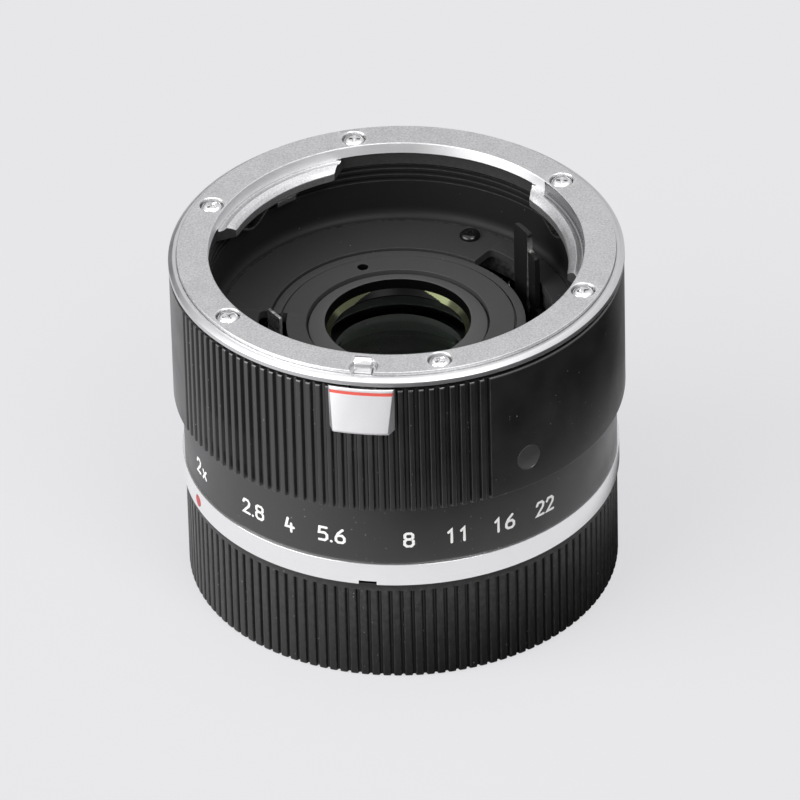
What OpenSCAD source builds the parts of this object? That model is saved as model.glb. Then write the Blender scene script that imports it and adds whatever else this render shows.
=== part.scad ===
// Camera teleconverter standing on its rear cap, lens side up.
// Sizes are millimetres. Z runs up the optical axis from the underside of the cap,
// and the release button faces -Y. Angles on the part are counted from the button,
// counter-clockwise seen from the lens side.

/* [Heights] */
// Height of the rear cap
cap_h = 16.4; // [15:0.1:22]
// Thickness of the rear bayonet flange
rear_flange_t = 3.6; // [3.2:0.1:5]
// Height of the plain band above the rear flange
band_h = 10.1; // [9:0.1:14]
// Height of the ribbed grip
grip_h = 20.9; // [20:0.1:28]
// Height of the dark groove under the front flange
groove_h = 0.7; // [0.5:0.1:1.2]
// Thickness of the front bayonet flange
flange_t = 1.7; // [1.5:0.1:2.2]
// Depth from the front face to the floor of the mirror-side cup
floor_depth = 12.8; // [12:0.1:14.5]

/* [Diameters] */
// Bayonet throat
throat_d = 54; // [53:0.1:55]
// Ribbed grip over its crests
grip_d = 65.4; // [65:0.1:68]
// Plain band
band_d = 62.8; // [62.4:0.1:64]
// Raised face of the front flange
face_d = 63.1; // [62.8:0.1:63.6]
// Rear bayonet flange
rear_flange_d = 63.4; // [62.8:0.1:64]
// Rear cap over its ribs
cap_d = 62.7; // [62:0.1:64]

/* [Grip sleeve] */
// Wall of the sleeve at the grip
grip_wall = 1.6; // [1.4:0.1:1.8]
// Wall of the sleeve at the band
band_wall = 1.2; // [1:0.1:1.4]
// Grooves in each of the two ribbed zones
rib_count = 36; // [20:1:40]
// Angle between two grooves
rib_pitch = 2.61; // [2.4:0.01:2.8]
// Angle of the first groove
rib_start = -59.5; // [-65:0.5:-50]
// Width of a groove
rib_gap = 0.6; // [0.4:0.05:0.8]
// Depth of a groove
rib_depth = 0.55; // [0.3:0.05:0.8]
// Chamfer on the grip's edges
grip_edge = 0.35; // [0.2:0.05:0.5]
// Diameter of the side plug
plug_d = 3.9; // [3:0.1:5]
// Height of the side plug above the grip's lower edge
plug_up = 5.1; // [4:0.1:9]
// Angle of the side plug
plug_a = 43.3; // [38:0.1:60]

/* [Front bayonet] */
// Drop from the front face to the top of a lug
lug_drop = 1.75; // [1.75:0.05:2.2]
// Thickness of a lug
lug_t = 2.05; // [1.8:0.05:2.4]
// Reach of a lug inside the throat
lug_reach = 2.3; // [2:0.1:2.6]
// Angle covered by a lug
lug_span = 56; // [50:1:58]
// Angle of the first lug's middle
lug_a = -6; // [-10:0.5:0]
// Pitch circle of the flange screws
screw_pcd = 58.2; // [58:0.1:58.4]
// Head diameter of the flange screws
screw_head_d = 3.3; // [2.8:0.1:3.5]
// Drop from the front face to the outer rim
rim_drop = 0.55; // [0.4:0.05:0.8]
// Width of the flat land on the outer rim
rim_land = 0.55; // [0.4:0.05:0.8]
// Angle covered by the bow of a leaf spring
leaf_span = 14; // [11:0.5:15]
// Depth of the bow of a leaf spring
leaf_bow = 1.9; // [1.5:0.1:2.2]
// Thickness of a leaf spring
leaf_t = 0.35; // [0.25:0.05:0.4]

/* [Release] */
// Width of the release button at its top
button_w = 9.1; // [8:0.1:11]
// Height of the release button
button_h = 7.2; // [6.8:0.1:8]
// How far the button stands off the grip at its lower edge
button_proud = 1.9; // [1.2:0.1:2.4]
// Travel of the release button
button_travel = 2.2; // [1.8:0.1:2.4]
// Width of the lock pin
pin_w = 2.5; // [2:0.1:2.8]
// Thickness of the lock pin
pin_t = 1.6; // [1.4:0.1:1.6]
// Height of the lock pin above the front face
pin_up = 1.5; // [1:0.1:1.7]
// Diameter of the lock pin's hole in the front flange
lock_hole_d = 4.06; // [3.9:0.02:4.2]

/* [Cup] */
// Light-trap ridges
ridge_count = 3; // [2:1:5]
// Height of one ridge
ridge_pitch = 1.05; // [0.8:0.05:1.1]
// Thickness of the baffle plate
floor_t = 1.2; // [1:0.1:1.5]
// Hole in the baffle plate around the lens cell
floor_hole_d = 37.34; // [37.2:0.02:38]
// Height of the stop-down lever above the floor
lever_up = 7.8; // [6:0.1:8.5]
// Height of the lever's shoulder above the floor
shoulder_up = 4.9; // [4:0.1:5.5]
// Turn of the stop-down lever
lever_turn = 28; // [20:1:30]
// Height of the aperture follower above the floor
finger_up = 2.4; // [1.8:0.1:3]
// Width of the aperture follower
finger_w = 3.7; // [3:0.1:3.8]
// Turn of the aperture follower
finger_turn = 40; // [30:1:45]
// Thickness of the levers
lever_t = 0.8; // [0.6:0.05:0.9]

/* [Optics] */
// Lens diameter of the rear stack
lens_d = 22; // [21:0.1:22.4]
// Diameter of the front element
front_lens_d = 23.9; // [23.4:0.1:24.2]
// Opening of the front retaining ring
hub_open_d = 21.16; // [20.6:0.02:21.4]
// Outside of the front retaining ring
hub_d = 25.88; // [25.6:0.02:26.4]
// Outside of the lens cell's tube
cell_d = 30.4; // [30:0.1:31]
// How far the lens cell reaches behind the rear flange
cell_reach = 4.2; // [3:0.1:5]

/* [Rear bayonet and cap] */
// Outside of the rear spigot
spigot_d = 49; // [48.6:0.1:49]
// Outside of the rear lugs
rear_lug_d = 53.4; // [52.8:0.1:53.4]
// Thickness of a rear lug
rear_lug_t = 1.5; // [1.3:0.1:1.8]
// Length of the spigot's nose below the lugs
nose_l = 1.1; // [0.8:0.1:1.5]
// Thickness of the cap's base
cap_base_t = 1.6; // [1.2:0.1:2.2]
// Wall of the cap
cap_wall = 1.85; // [1.5:0.05:2.2]
// Ribs around the cap
cap_rib_count = 124; // [60:2:130]
// Depth of the cap's grooves
cap_rib_depth = 0.42; // [0.3:0.02:0.5]
// Smooth rim at the top of the cap
cap_rim_h = 1.2; // [0.8:0.1:2]

/* [Hidden] */
$fn = 128;

black = "#1c1c1d";
dark = "#2a2a2b";
silver = "#c9cbcd";
glass = "#9fb5a8";
red = "#b5202a";

// Overlap of pieces that are joined, and overrun of cuts
join = 0.1;
overrun = 1;
// Overlap of joined pieces that lie on an arc, in degrees
arc_join = 1;
// Radial clearance of seated pieces and of turning rings
fit = 0.05;
running = 0.1;
// Clearance around pieces that slide in a slot
slide_gap = 0.15;

// Levels from the cap's underside up to the front face
z_rear = cap_h;
z_rear_top = z_rear + rear_flange_t;
z_grip = z_rear_top + band_h;
z_grip_top = z_grip + grip_h;
z_flange = z_grip_top + groove_h;
z_face = z_flange + flange_t;
z_floor = z_face - floor_depth;
z_shelf_top = z_floor - floor_t;
shelf_t = 2.6;
z_shelf = z_shelf_top - shelf_t;

// Sleeve and housing
grip_r = grip_d / 2;
band_r = band_d / 2;
grip_bore_r = grip_r - grip_wall;
band_bore_r = band_r - band_wall;
seat_up = 1.4;
z_seat = z_grip + seat_up;
groove_in = 0.8;
groove_r = grip_r - groove_in;
throat_r = throat_d / 2;
cup_wall = 1;
cup_r = throat_r + cup_wall;
housing_wall = 2.35;
ring_bore_r = band_bore_r - fit - housing_wall;
ring_w = 3.2;
ring_in = ring_bore_r - ring_w;
shelf_in = 1.9;
shelf_r = ring_in - shelf_in;
zone_turn = 180;

// Screws: angles around the flanges, thread and clearance radii
screw_angles = [21, 75, 133.5, 201, 255, 313.5];
screw_r = screw_pcd / 2;
thread_r = 0.85;
screw_hole_r = 0.95;
screw_l = 5;
head_h = 0.95;
head_r = screw_head_d / 2;
head_gap = 0.1;
small_thread_r = 0.6;
small_hole_r = 0.65;
// Shapes of a screw head, as shares of its radius or its height
cross_w = 0.28;
cross_l = 1.3;
cross_deep = 0.55;
head_side = 0.5;
head_top = 0.7;
// Turn of a screw's cross for each degree around its flange
front_drive = 1.7;
rear_drive = 1.3;

// Front bayonet
z_lug_top = z_face - lug_drop;
z_lug = z_lug_top - lug_t;
lug_r = throat_r - lug_reach;
lug_slope = 0.45;
lug_bevel = 0.6;
lug_groove = 0.25;
lug_slant = 4.3;
skirt_step = 0.15;
skirt_up = 0.1;
z_skirt = z_lug + skirt_up;
face_r = face_d / 2;
face_edge = 0.25;
throat_edge = 0.15;
foot_t = 0.6;
z_foot = z_flange + foot_t;
foot_in = 0.65;
foot_r = face_r - foot_in;
seam = 0.1;
rim_over = 0.07;
rim_r = grip_r + rim_over;
rim_bevel = 0.44;
z_rim = z_face - rim_drop;
lug_angles = [for (i = [0:2]) lug_a + 120 * i];
lug_turn = 60;
// Turn that puts the start of a full ring midway between two lugs
between_lugs = lug_a + lug_turn - 90;

// Leaf springs under the front lugs
leaf_at = 9.6;
leaf_back = 0.25;
leaf_in = lug_r + leaf_back;
leaf_w = 1.65;
leaf_tail = 13;
leaf_end = 2;
leaf_mid_r = leaf_in + leaf_w / 2;
leaf_chord = 2 * leaf_mid_r * sin(leaf_span / 2);
leaf_r = (leaf_chord * leaf_chord / 4 + leaf_bow * leaf_bow) / (2 * leaf_bow);
leaf_screw_in = 3;
leaf_a0 = leaf_at - leaf_span / 2;
leaf_a1 = leaf_at + leaf_span / 2;
leaf_screw_a = leaf_a0 - leaf_tail + leaf_screw_in;
leaf_screw_r = 0.45;
leaf_head_r = 0.75;
leaf_head_h = 0.5;
leaf_screw_l = 1.5;

// Light-trap liner
liner_step = 0.1;
liner_r = throat_r + liner_step;
ridge_deep = 0.4;
ridge_shape = [0.98, 0.75, 0.5, 0.4];
liner_top_gap = 0.05;
z_ridge = z_lug - liner_top_gap - ridge_count * ridge_pitch;
fillet_in = 1.2;
fillet_up = 1.8;
fillet_steps = 6;
liner_foot_r = liner_r - fillet_in;
floor_gap = 0.1;
floor_r = liner_foot_r - floor_gap;

// Baffle plate, its screws and the slots in it
floor_hole_r = floor_hole_d / 2;
floor_screw_in = 1.1;
floor_screw_r = shelf_r + floor_screw_in;
floor_screw_a = 42.6;
floor_screw_angles = [for (i = [0:2]) floor_screw_a + 120 * i];
floor_head_r = 1.5;
floor_head_h = 0.7;
lever_r = 21.35;
lever_out = lever_r + lever_t;
lever_a0 = 126.6;
lever_a1 = 136.6;
shoulder_a = 120.5;
lever_slot_gap = 0.4;
lever_slot_r = lever_out + lever_slot_gap;
lever_slot_after = 15.4;
lever_slot_a1 = lever_a1 + lever_slot_after;
lever_slot_before = 7;
lever_slot_a0 = shoulder_a - lever_turn - lever_slot_before;
finger_r = 17.74;
finger_a = 278.1;
finger_tilt = 36.6;
finger_slot_w = [1.64, 2.46];
finger_slot_in = finger_r - finger_slot_w[0];
finger_slot_out = finger_r + finger_slot_w[1];
finger_slot_ends = 8.5;
finger_slot_a0 = finger_a - finger_slot_ends;
finger_slot_a1 = finger_a + finger_turn + finger_slot_ends;

// Rings that carry the levers, stacked under the housing's shelf
ring_t = 2.1;
ring_r = ring_bore_r - running;
spacer_t = 1.5;
z_stop = z_shelf - running - ring_t;
z_spacer = z_stop - running - spacer_t;
z_follow = z_spacer - running - ring_t;
z_retain = z_follow - running - spacer_t;
arm_a0 = 114;
arm_a1 = 137;
rear_lever_a0 = 114.5;
rear_lever_a1 = 124.5;
cam_a0 = -20;
cam_a1 = 5;
cam_step_a = -8;
cam_step = 2;
finger_arm_w = 4;
lever_tip = 7.4;
z_tip = z_rear - lever_tip;
slot_margin = 2;

// Return springs of the two rings
coil_r = 0.7;
wire_r = 0.15;
coil_turns = 14;
spring_in = 1.2;
spring_at_r = ring_in - spring_in;
spring_gap = 0.5;
post_r = 0.5;
stop_post_a = 187;
follow_post_a = 236;
ear_half = 4;
ear_l = 1.7;
ear_in = ring_in - ear_l;

// Rear baffle and lens cell
baffle_t = 1.4;
z_baffle = z_rear_top + baffle_t;
spigot_r = spigot_d / 2;
spigot_wall = 1.7;
mount_bore_r = spigot_r - spigot_wall;
baffle_lap = 2.4;
baffle_r = mount_bore_r + baffle_lap;
baffle_screw_at = mount_bore_r + baffle_lap / 2;
baffle_screw_a = 60;
baffle_screw_angles = [for (i = [0:2]) baffle_screw_a + 120 * i];
baffle_head_r = 1.1;
baffle_head_h = 0.7;
baffle_screw_l = 3.2;
cell_r = cell_d / 2;
hub_r = hub_d / 2;
cell_shoulder_w = 2;
cell_shoulder_r = cell_r + cell_shoulder_w;
cell_shoulder_t = 1.6;
cell_gap = 0.25;
cell_flange_r = floor_hole_r - cell_gap;
cell_flange_t = 1.5;
cell_low = 0.3;
z_cell_rim = z_floor - cell_low;
z_cell_flange = z_cell_rim - cell_flange_t;
cell_rim_w = 1.45;
cell_step_r = cell_flange_r - cell_rim_w;
cell_step_up = 0.2;
z_cell_face = z_cell_rim + cell_step_up;
z_cell = z_rear - cell_reach;
spanner_out = 1.96;
spanner_at_r = hub_r + spanner_out;
spanner_r = 0.75;
spanner_deep = 1.2;
spanner_a = 28.8;
lock_ring_w = 3.4;
lock_ring_t = 1.6;
notch_w = 1.4;
notch_deep = 0.8;

// Lens elements: seats, edges and face radii (a hollow face is negative)
lens_r = lens_d / 2;
stack_r = lens_r + fit;
lens_rim = 1.4;
clear_r = lens_r - lens_rim;
front_lens_r = front_lens_d / 2;
front_seat = 6.6;
z_seat_lip = z_floor - front_seat;
lip_t = 1;
z_stack = z_seat_lip - lip_t;
front_t = 4.3;
second_t = 3;
crown_t = 2;
flint_t = 2.5;
fifth_t = 2;
rear_t = 2.3;
rear_gap_t = 1.6;
middle_gap_t = 2.5;
rear_ring_t = 1.3;
rear_ring_in = 0.1;
z_rear_ring = z_cell + rear_ring_in;
z_rear_lens = z_rear_ring + rear_ring_t;
z_rear_gap = z_rear_lens + rear_t;
z_fifth = z_rear_gap + rear_gap_t;
z_middle_gap = z_fifth + fifth_t;
z_flint = z_middle_gap + middle_gap_t;
z_crown = z_flint + flint_t;
z_front_gap = z_crown + crown_t;
z_second = z_stack - second_t;
cement = 0.02;
front_faces = [38, -60];
second_faces = [-60, -45];
crown_face = 40;
cement_face = 36;
flint_face = 50;
fifth_faces = [45, 60];
rear_faces = [-40, 90];

// Front retaining ring
hub_open_r = hub_open_d / 2;
hub_moat = 0.3;
hub_seat_down = 1.6;
z_hub_seat = z_floor - hub_seat_down;
hub_edge_down = 0.7;
hub_crown_up = 0.15;
hub_step_down = 1;
hub_rim = 0.4;
hub_inner_r = clear_r + hub_rim;
hub_step = 0.28;
z_hub = z_seat_lip + front_t;

// Rear bayonet
nose_step = 0.2;
nose_r = spigot_r - nose_step;
rear_lug_r = rear_lug_d / 2;
lug_play = 0.1;
z_rear_lug_top = z_rear - lug_drop - lug_t - lug_play;
z_rear_lug = z_rear_lug_top - rear_lug_t;
z_nose = z_rear_lug - nose_l;
rear_lug_span = 52;
rear_flange_r = rear_flange_d / 2;
rear_edge = 0.2;
rear_screw_r = (ring_bore_r + band_bore_r - fit) / 2;
notch_slot_w = 2.6;
notch_slot_h = 0.65;
notch_pocket_h = 1.8;
slide_in = 0.95;
slide_r = grip_bore_r - slide_in;
notch_pocket_w = [1.25, 0.85];
notch_pocket_in = slide_r - notch_pocket_w[0];
notch_pocket_out = slide_r + notch_pocket_w[1];
dot_r = 0.9;
dot_a = -58.8;
dot_deep = 0.5;
dot_proud = 0.05;
dot_low = 0.2;
z_dot = (z_rear + z_rear_top) / 2 - dot_low;

// Release: button, lock pin and spring behind it
slide_half = pin_t / 2;
slide_w = 3.9;
slot_w = slide_w + 2 * slide_gap;
slot_in = slide_r - slide_half - running;
button_gap = 0.3;
z_button_top = z_flange - button_gap;
z_button = z_button_top - button_h;
button_off = 0.12;
button_back = grip_r + button_off;
button_lip = 0.3;
button_taper = 0.1;
button_edge = 0.35;
// Angle to either side that the turned wedge is cut from
button_reach = 20;
neck_w = 3.6;
neck_gap = 0.05;
neck_in = groove_r + fit;
neck_h = 1.2;
shank_w = 3.7;
shank_h = 4;
shank_down = 5;
z_shank = z_button_top - shank_down;
line_h = 0.45;
line_down = 0.9;
line_deep = 0.12;
z_line = z_button_top - line_down;
block_l = 7.9;
block_down = 0.8;
z_block_top = z_flange - block_down;
z_block = z_block_top - block_l;
spring_l = 7;
z_pocket = z_block - spring_l;
release_coil_r = 0.6;
release_turns = 8;
lock_hole_r = lock_hole_d / 2;
lock_hole_out = 0.15;
lock_hole_at = slide_r + lock_hole_out;

// Side plug and the set screw under it
plug_r = plug_d / 2;
z_plug = z_grip + plug_up;
set_screw_r = 1;
set_screw_l = 1.8;
set_slot_w = 0.3;
set_slot_deep = 0.5;
plug_proud = 0.03;

// Rear cap
cap_r = cap_d / 2;
cap_in = cap_r - cap_wall;
cap_edge = 0.8;
cap_lug_top = z_rear - lug_drop;
cap_lug = cap_lug_top - lug_t;
cap_rib_a = 360 / cap_rib_count;

// Turns its children from the button's angle to another one
module at(a) rotate([0, 0, a]) children();

// Point at a radius and an angle from the button, seen from the lens side
function around(r, a) = [r * sin(a), -r * cos(a)];

// Solid of revolution about the optical axis
module turned(outline) rotate_extrude() polygon(outline);

// Plain ring
module ring(r0, r1, z0, z1)
    turned([[r0, z0], [r1, z0], [r1, z1], [r0, z1]]);

// Part of a ring between two angles
module arc_block(a0, a1, r0, r1, z0, z1)
    at(a0 - 90)
        rotate_extrude(angle = a1 - a0)
            translate([r0, z0])
                square([r1 - r0, z1 - z0]);

// Rod along Z on a radius
module upright(a, r, rod_r, z0, z1)
    at(a)
        translate([0, -r, z0])
            cylinder(r = rod_r, h = z1 - z0);

// Rod that points outwards between two radii
module radial_rod(a, z, rod_r, r0, r1)
    at(a)
        translate([0, -r0, z])
            rotate([90, 0, 0])
                cylinder(r = rod_r, h = r1 - r0);

// Box centred on an angle, between two radii
module radial_box(a, w, r0, r1, z0, z1)
    at(a)
        translate([-w / 2, -r1, z0])
            cube([w, r1 - r0, z1 - z0]);

// Cross-head screw with its shank down, from the underside of its head
module cross_screw(screw_head_r, screw_head_h, shank_r, shank_len) {
    slot = screw_head_r * cross_w;
    slot_len = screw_head_r * cross_l;
    slot_deep = screw_head_h * cross_deep;
    side_h = screw_head_h * head_side;
    difference() {
        union() {
            translate([0, 0, -shank_len]) cylinder(r = shank_r, h = shank_len + join);
            cylinder(r = screw_head_r, h = side_h);
            translate([0, 0, side_h])
                cylinder(r1 = screw_head_r, r2 = screw_head_r * head_top, h = screw_head_h - side_h);
        }
        for (turn = [0, 90])
            rotate([0, 0, turn])
                translate([-slot_len / 2, -slot / 2, screw_head_h - slot_deep])
                    cube([slot_len, slot, slot_deep + overrun]);
    }
}

// Coil spring along Z, one unbroken wire
module coil(mean_r, length, turns) {
    sides = 6;
    per_turn = 10;
    count = turns * per_turn;
    rise = length - 2 * wire_r;
    slope = atan2(rise / turns, 2 * PI * mean_r);
    points = [for (i = [0:count], s = [0:sides - 1])
        let (a = 360 * i / per_turn, b = 360 * s / sides,
            out = wire_r * cos(b), up = wire_r * sin(b))
        [(mean_r + out) * cos(a) + up * sin(slope) * sin(a),
            (mean_r + out) * sin(a) - up * sin(slope) * cos(a),
            wire_r + rise * i / count + up * cos(slope)]];
    walls = [for (i = [0:count - 1], s = [0:sides - 1], half = [0, 1])
        let (p = i * sides + s, q = i * sides + (s + 1) % sides)
        half == 0 ? [p, p + sides, q] : [q, p + sides, q + sides]];
    first_end = [for (s = [1:sides - 2]) [0, s, s + 1]];
    last_end = [for (s = [1:sides - 2])
        [count * sides, count * sides + s + 1, count * sides + s]];
    polyhedron(points, concat(walls, first_end, last_end));
}

// Coil spring laid between two angles, in a plane square to the axis
module laid_coil(a0, a1, z) {
    half = (a1 - a0) / 2;
    length = 2 * spring_at_r * sin(half) - 2 * spring_gap;
    at((a0 + a1) / 2)
        translate([-length / 2, -spring_at_r * cos(half), z])
            rotate([0, 90, 0])
                coil(coil_r, length, coil_turns);
}

// Lens with flat seats at its rim. Of its two face radii, upper first, a positive one
// bulges and a negative one is hollow.
module lens(r, z, edge_t, faces) {
    top_face = faces[0];
    low_face = faces[1];
    top_drop = sqrt(top_face * top_face - clear_r * clear_r);
    low_drop = sqrt(low_face * low_face - clear_r * clear_r);
    color(glass, 0.6)
        translate([0, 0, z])
            difference() {
                union() {
                    cylinder(r = r, h = edge_t);
                    if (top_face > 0)
                        intersection() {
                            translate([0, 0, edge_t - top_drop]) sphere(r = top_face);
                            translate([0, 0, edge_t - join]) cylinder(r = r, h = top_face);
                        }
                    if (low_face > 0)
                        intersection() {
                            translate([0, 0, low_drop]) sphere(r = low_face);
                            translate([0, 0, join - low_face]) cylinder(r = r, h = low_face);
                        }
                }
                if (top_face < 0)
                    translate([0, 0, edge_t + top_drop]) sphere(r = -top_face);
                if (low_face < 0)
                    translate([0, 0, -low_drop]) sphere(r = -low_face);
            }
}

// Spacer or threaded ring inside the lens cell
module stack_ring(z0, z1)
    color(black) ring(clear_r + running, lens_r, z0, z1);

// Outer shell: plain band below, grip with two ribbed zones above
module grip_sleeve()
    color(black)
        difference() {
            turned([[band_bore_r, z_rear_top], [band_r, z_rear_top], [band_r, z_grip],
                [grip_r - grip_edge, z_grip], [grip_r, z_grip + grip_edge],
                [grip_r, z_grip_top - grip_edge], [grip_r - grip_edge, z_grip_top],
                [grip_bore_r, z_grip_top], [grip_bore_r, z_seat], [band_bore_r, z_seat]]);
            for (zone = [0, zone_turn], i = [0:rib_count - 1])
                radial_box(rib_start + zone + i * rib_pitch, rib_gap, grip_r - rib_depth,
                    grip_r + overrun, z_grip - overrun, z_grip_top + overrun);
            radial_box(0, slot_w, grip_bore_r - overrun, grip_r + overrun,
                z_shank - button_travel - slide_gap, z_grip_top + overrun);
            radial_rod(plug_a, z_plug, plug_r + fit, grip_bore_r - overrun, grip_r + overrun);
        }

// Inner tube that carries both flanges, the shelf and the lever rings
module inner_housing()
    color(black)
        union() {
            difference() {
                turned([[ring_bore_r, z_rear_top], [band_bore_r - fit, z_rear_top],
                    [band_bore_r - fit, z_seat + fit], [grip_bore_r - fit, z_seat + fit],
                    [grip_bore_r - fit, z_grip_top], [groove_r, z_grip_top],
                    [groove_r, z_flange], [cup_r, z_flange], [cup_r, z_shelf_top],
                    [shelf_r, z_shelf_top], [shelf_r, z_shelf], [ring_bore_r, z_shelf]]);
                for (a = screw_angles) {
                    upright(a, screw_r, thread_r, z_flange - screw_l, z_flange + overrun);
                    upright(a, rear_screw_r, thread_r, z_rear_top - overrun, z_rear_top + screw_l);
                }
                for (a = floor_screw_angles)
                    upright(a, floor_screw_r, small_thread_r, z_shelf - overrun, z_shelf_top + overrun);
                radial_box(0, slot_w, slot_in, grip_r + overrun, z_pocket, z_flange + overrun);
                radial_rod(plug_a, z_plug, set_screw_r, grip_bore_r - set_screw_l - fit,
                    grip_r + overrun);
            }
            upright(stop_post_a, spring_at_r, post_r, z_stop, z_shelf + join);
        }

// Flush plug on the smooth side of the grip
module side_plug()
    color(black)
        radial_rod(plug_a, z_plug, plug_r, grip_bore_r, grip_r + plug_proud);

// Set screw that keeps the sleeve from turning
module sleeve_set_screw()
    color(dark)
        difference() {
            radial_rod(plug_a, z_plug, set_screw_r - fit / 2, grip_bore_r - set_screw_l,
                grip_bore_r - fit);
            at(plug_a)
                translate([-set_screw_r - overrun, -grip_bore_r - overrun, z_plug - set_slot_w / 2])
                    cube([2 * (set_screw_r + overrun), overrun + set_slot_deep, set_slot_w]);
        }

// Female bayonet lug, with a sloped top and ends cut on a slant
module front_lug(a) {
    wall = throat_r + skirt_step + join;
    half = lug_span / 2;
    ends = [for (side = [-1, 1])
        let (out = around(throat_r, side * half), in = around(lug_r, side * (half - lug_slant)))
        [out + (out - in), in - (out - in)]];
    intersection() {
        at(a + 90)
            turned([[lug_r, z_lug], [wall, z_lug], [wall, z_lug_top - lug_groove],
                [throat_r - lug_groove, z_lug_top - lug_groove],
                [throat_r - lug_groove, z_lug_top],
                [lug_r + lug_bevel, z_lug_top - lug_slope],
                [lug_r, z_lug_top - lug_slope - lug_bevel]]);
        at(a)
            translate([0, 0, z_lug - overrun])
                linear_extrude(lug_t + 2 * overrun)
                    polygon([ends[0][0], around(2 * throat_r, -half), around(2 * throat_r, half),
                        ends[1][0], ends[1][1], ends[0][1]]);
    }
}

// Bright flange with the three female bayonet lugs
module front_bayonet_ring()
    color(silver)
        difference() {
            union() {
                at(between_lugs)
                    turned([[throat_r + skirt_step, z_skirt], [cup_r - fit, z_skirt],
                        [cup_r - fit, z_flange], [foot_r - fit, z_flange],
                        [foot_r - fit, z_foot], [face_r, z_foot],
                        [face_r, z_face - face_edge], [face_r - face_edge, z_face],
                        [throat_r + throat_edge, z_face], [throat_r, z_face - throat_edge],
                        [throat_r, z_lug_top], [throat_r + skirt_step, z_lug_top]]);
                for (a = lug_angles)
                    front_lug(a);
            }
            for (a = screw_angles) {
                upright(a, screw_r, screw_hole_r, z_flange - overrun, z_face);
                upright(a, screw_r, head_r + head_gap, z_face - head_h - head_gap, z_face + overrun);
            }
            upright(0, lock_hole_at, lock_hole_r, z_flange - overrun, z_face + overrun);
            for (a = lug_angles)
                upright(a + leaf_screw_a, leaf_mid_r, leaf_screw_r, z_lug - overrun,
                    z_lug + leaf_screw_l);
        }

// Bright outer rim clamped under the flange
module front_trim_ring()
    color(silver)
        difference() {
            turned([[foot_r, z_flange], [rim_r, z_flange], [rim_r, z_rim - rim_bevel],
                [face_r + seam + rim_land, z_rim], [face_r + seam, z_rim],
                [face_r + seam, z_foot], [foot_r, z_foot]]);
            upright(0, lock_hole_at, lock_hole_r, z_flange - overrun, z_face + overrun);
        }

// Screws of the front flange
module front_flange_screws()
    color(silver)
        for (a = screw_angles)
            at(a)
                translate([0, -screw_r, z_face - head_h - head_gap])
                    rotate([0, 0, a * front_drive])
                        cross_screw(head_r, head_h, thread_r - fit / 2, screw_l);

// Bowed leaf springs under the front lugs
module leaf_springs()
    color(dark)
        for (a = lug_angles)
            difference() {
                union() {
                    at(a + leaf_at)
                        translate([0, -leaf_in, 0])
                            rotate([90, 0, 0])
                                linear_extrude(leaf_w)
                                    intersection() {
                                        difference() {
                                            translate([0, z_lug - leaf_bow + leaf_r]) circle(r = leaf_r);
                                            translate([0, z_lug - leaf_bow + leaf_r])
                                                circle(r = leaf_r - leaf_t);
                                        }
                                        translate([-leaf_r, z_lug - 2 * leaf_bow])
                                            square([2 * leaf_r, 2 * leaf_bow]);
                                    }
                    arc_block(a + leaf_a0 - leaf_tail, a + leaf_a0 + arc_join, leaf_in,
                        leaf_in + leaf_w, z_lug - leaf_t, z_lug);
                    arc_block(a + leaf_a1 - arc_join, a + leaf_a1 + leaf_end, leaf_in,
                        leaf_in + leaf_w, z_lug - leaf_t, z_lug);
                }
                upright(a + leaf_screw_a, leaf_mid_r, leaf_screw_r + fit, z_lug - overrun,
                    z_lug + overrun);
            }

// Small screws that hold the leaf springs
module leaf_spring_screws()
    color(dark)
        for (a = lug_angles)
            at(a + leaf_screw_a)
                translate([0, -leaf_mid_r, z_lug - leaf_t])
                    rotate([180, 0, 0])
                        cross_screw(leaf_head_r, leaf_head_h, leaf_screw_r - fit / 2, leaf_screw_l);

// Black liner of the cup with light-trap ridges near its top
module light_trap_liner()
    color(black)
        turned(concat(
            [[liner_foot_r, z_shelf_top], [cup_r - fit, z_shelf_top],
                [cup_r - fit, z_lug - liner_top_gap]],
            [for (i = [ridge_count - 1:-1:0], k = [0:3])
                let (z = z_ridge + i * ridge_pitch)
                [k == 0 || k == 3 ? liner_r : liner_r + ridge_deep,
                    z + ridge_pitch * ridge_shape[k]]],
            [[liner_r, z_ridge]],
            [for (i = [0:fillet_steps])
                let (t = 90 * i / fillet_steps)
                [liner_foot_r + fillet_in * cos(t), z_floor + fillet_up * (1 - sin(t))]]));

// Floor of the cup, with the slots for the lever and the follower
module baffle_plate()
    color(black)
        difference() {
            ring(floor_hole_r, floor_r, z_shelf_top, z_floor);
            arc_block(lever_slot_a0, lever_slot_a1, floor_hole_r - overrun, lever_slot_r,
                z_shelf_top - overrun, z_floor + overrun);
            arc_block(finger_slot_a0, finger_slot_a1, floor_hole_r - overrun, finger_slot_out,
                z_shelf_top - overrun, z_floor + overrun);
            for (a = floor_screw_angles)
                upright(a, floor_screw_r, small_hole_r, z_shelf_top - overrun, z_floor + overrun);
        }

// Screws of the baffle plate
module baffle_plate_screws()
    color(dark)
        for (a = floor_screw_angles)
            at(a)
                translate([0, -floor_screw_r, z_floor])
                    cross_screw(floor_head_r, floor_head_h, small_thread_r - fit / 2, floor_t + shelf_t);

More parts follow.
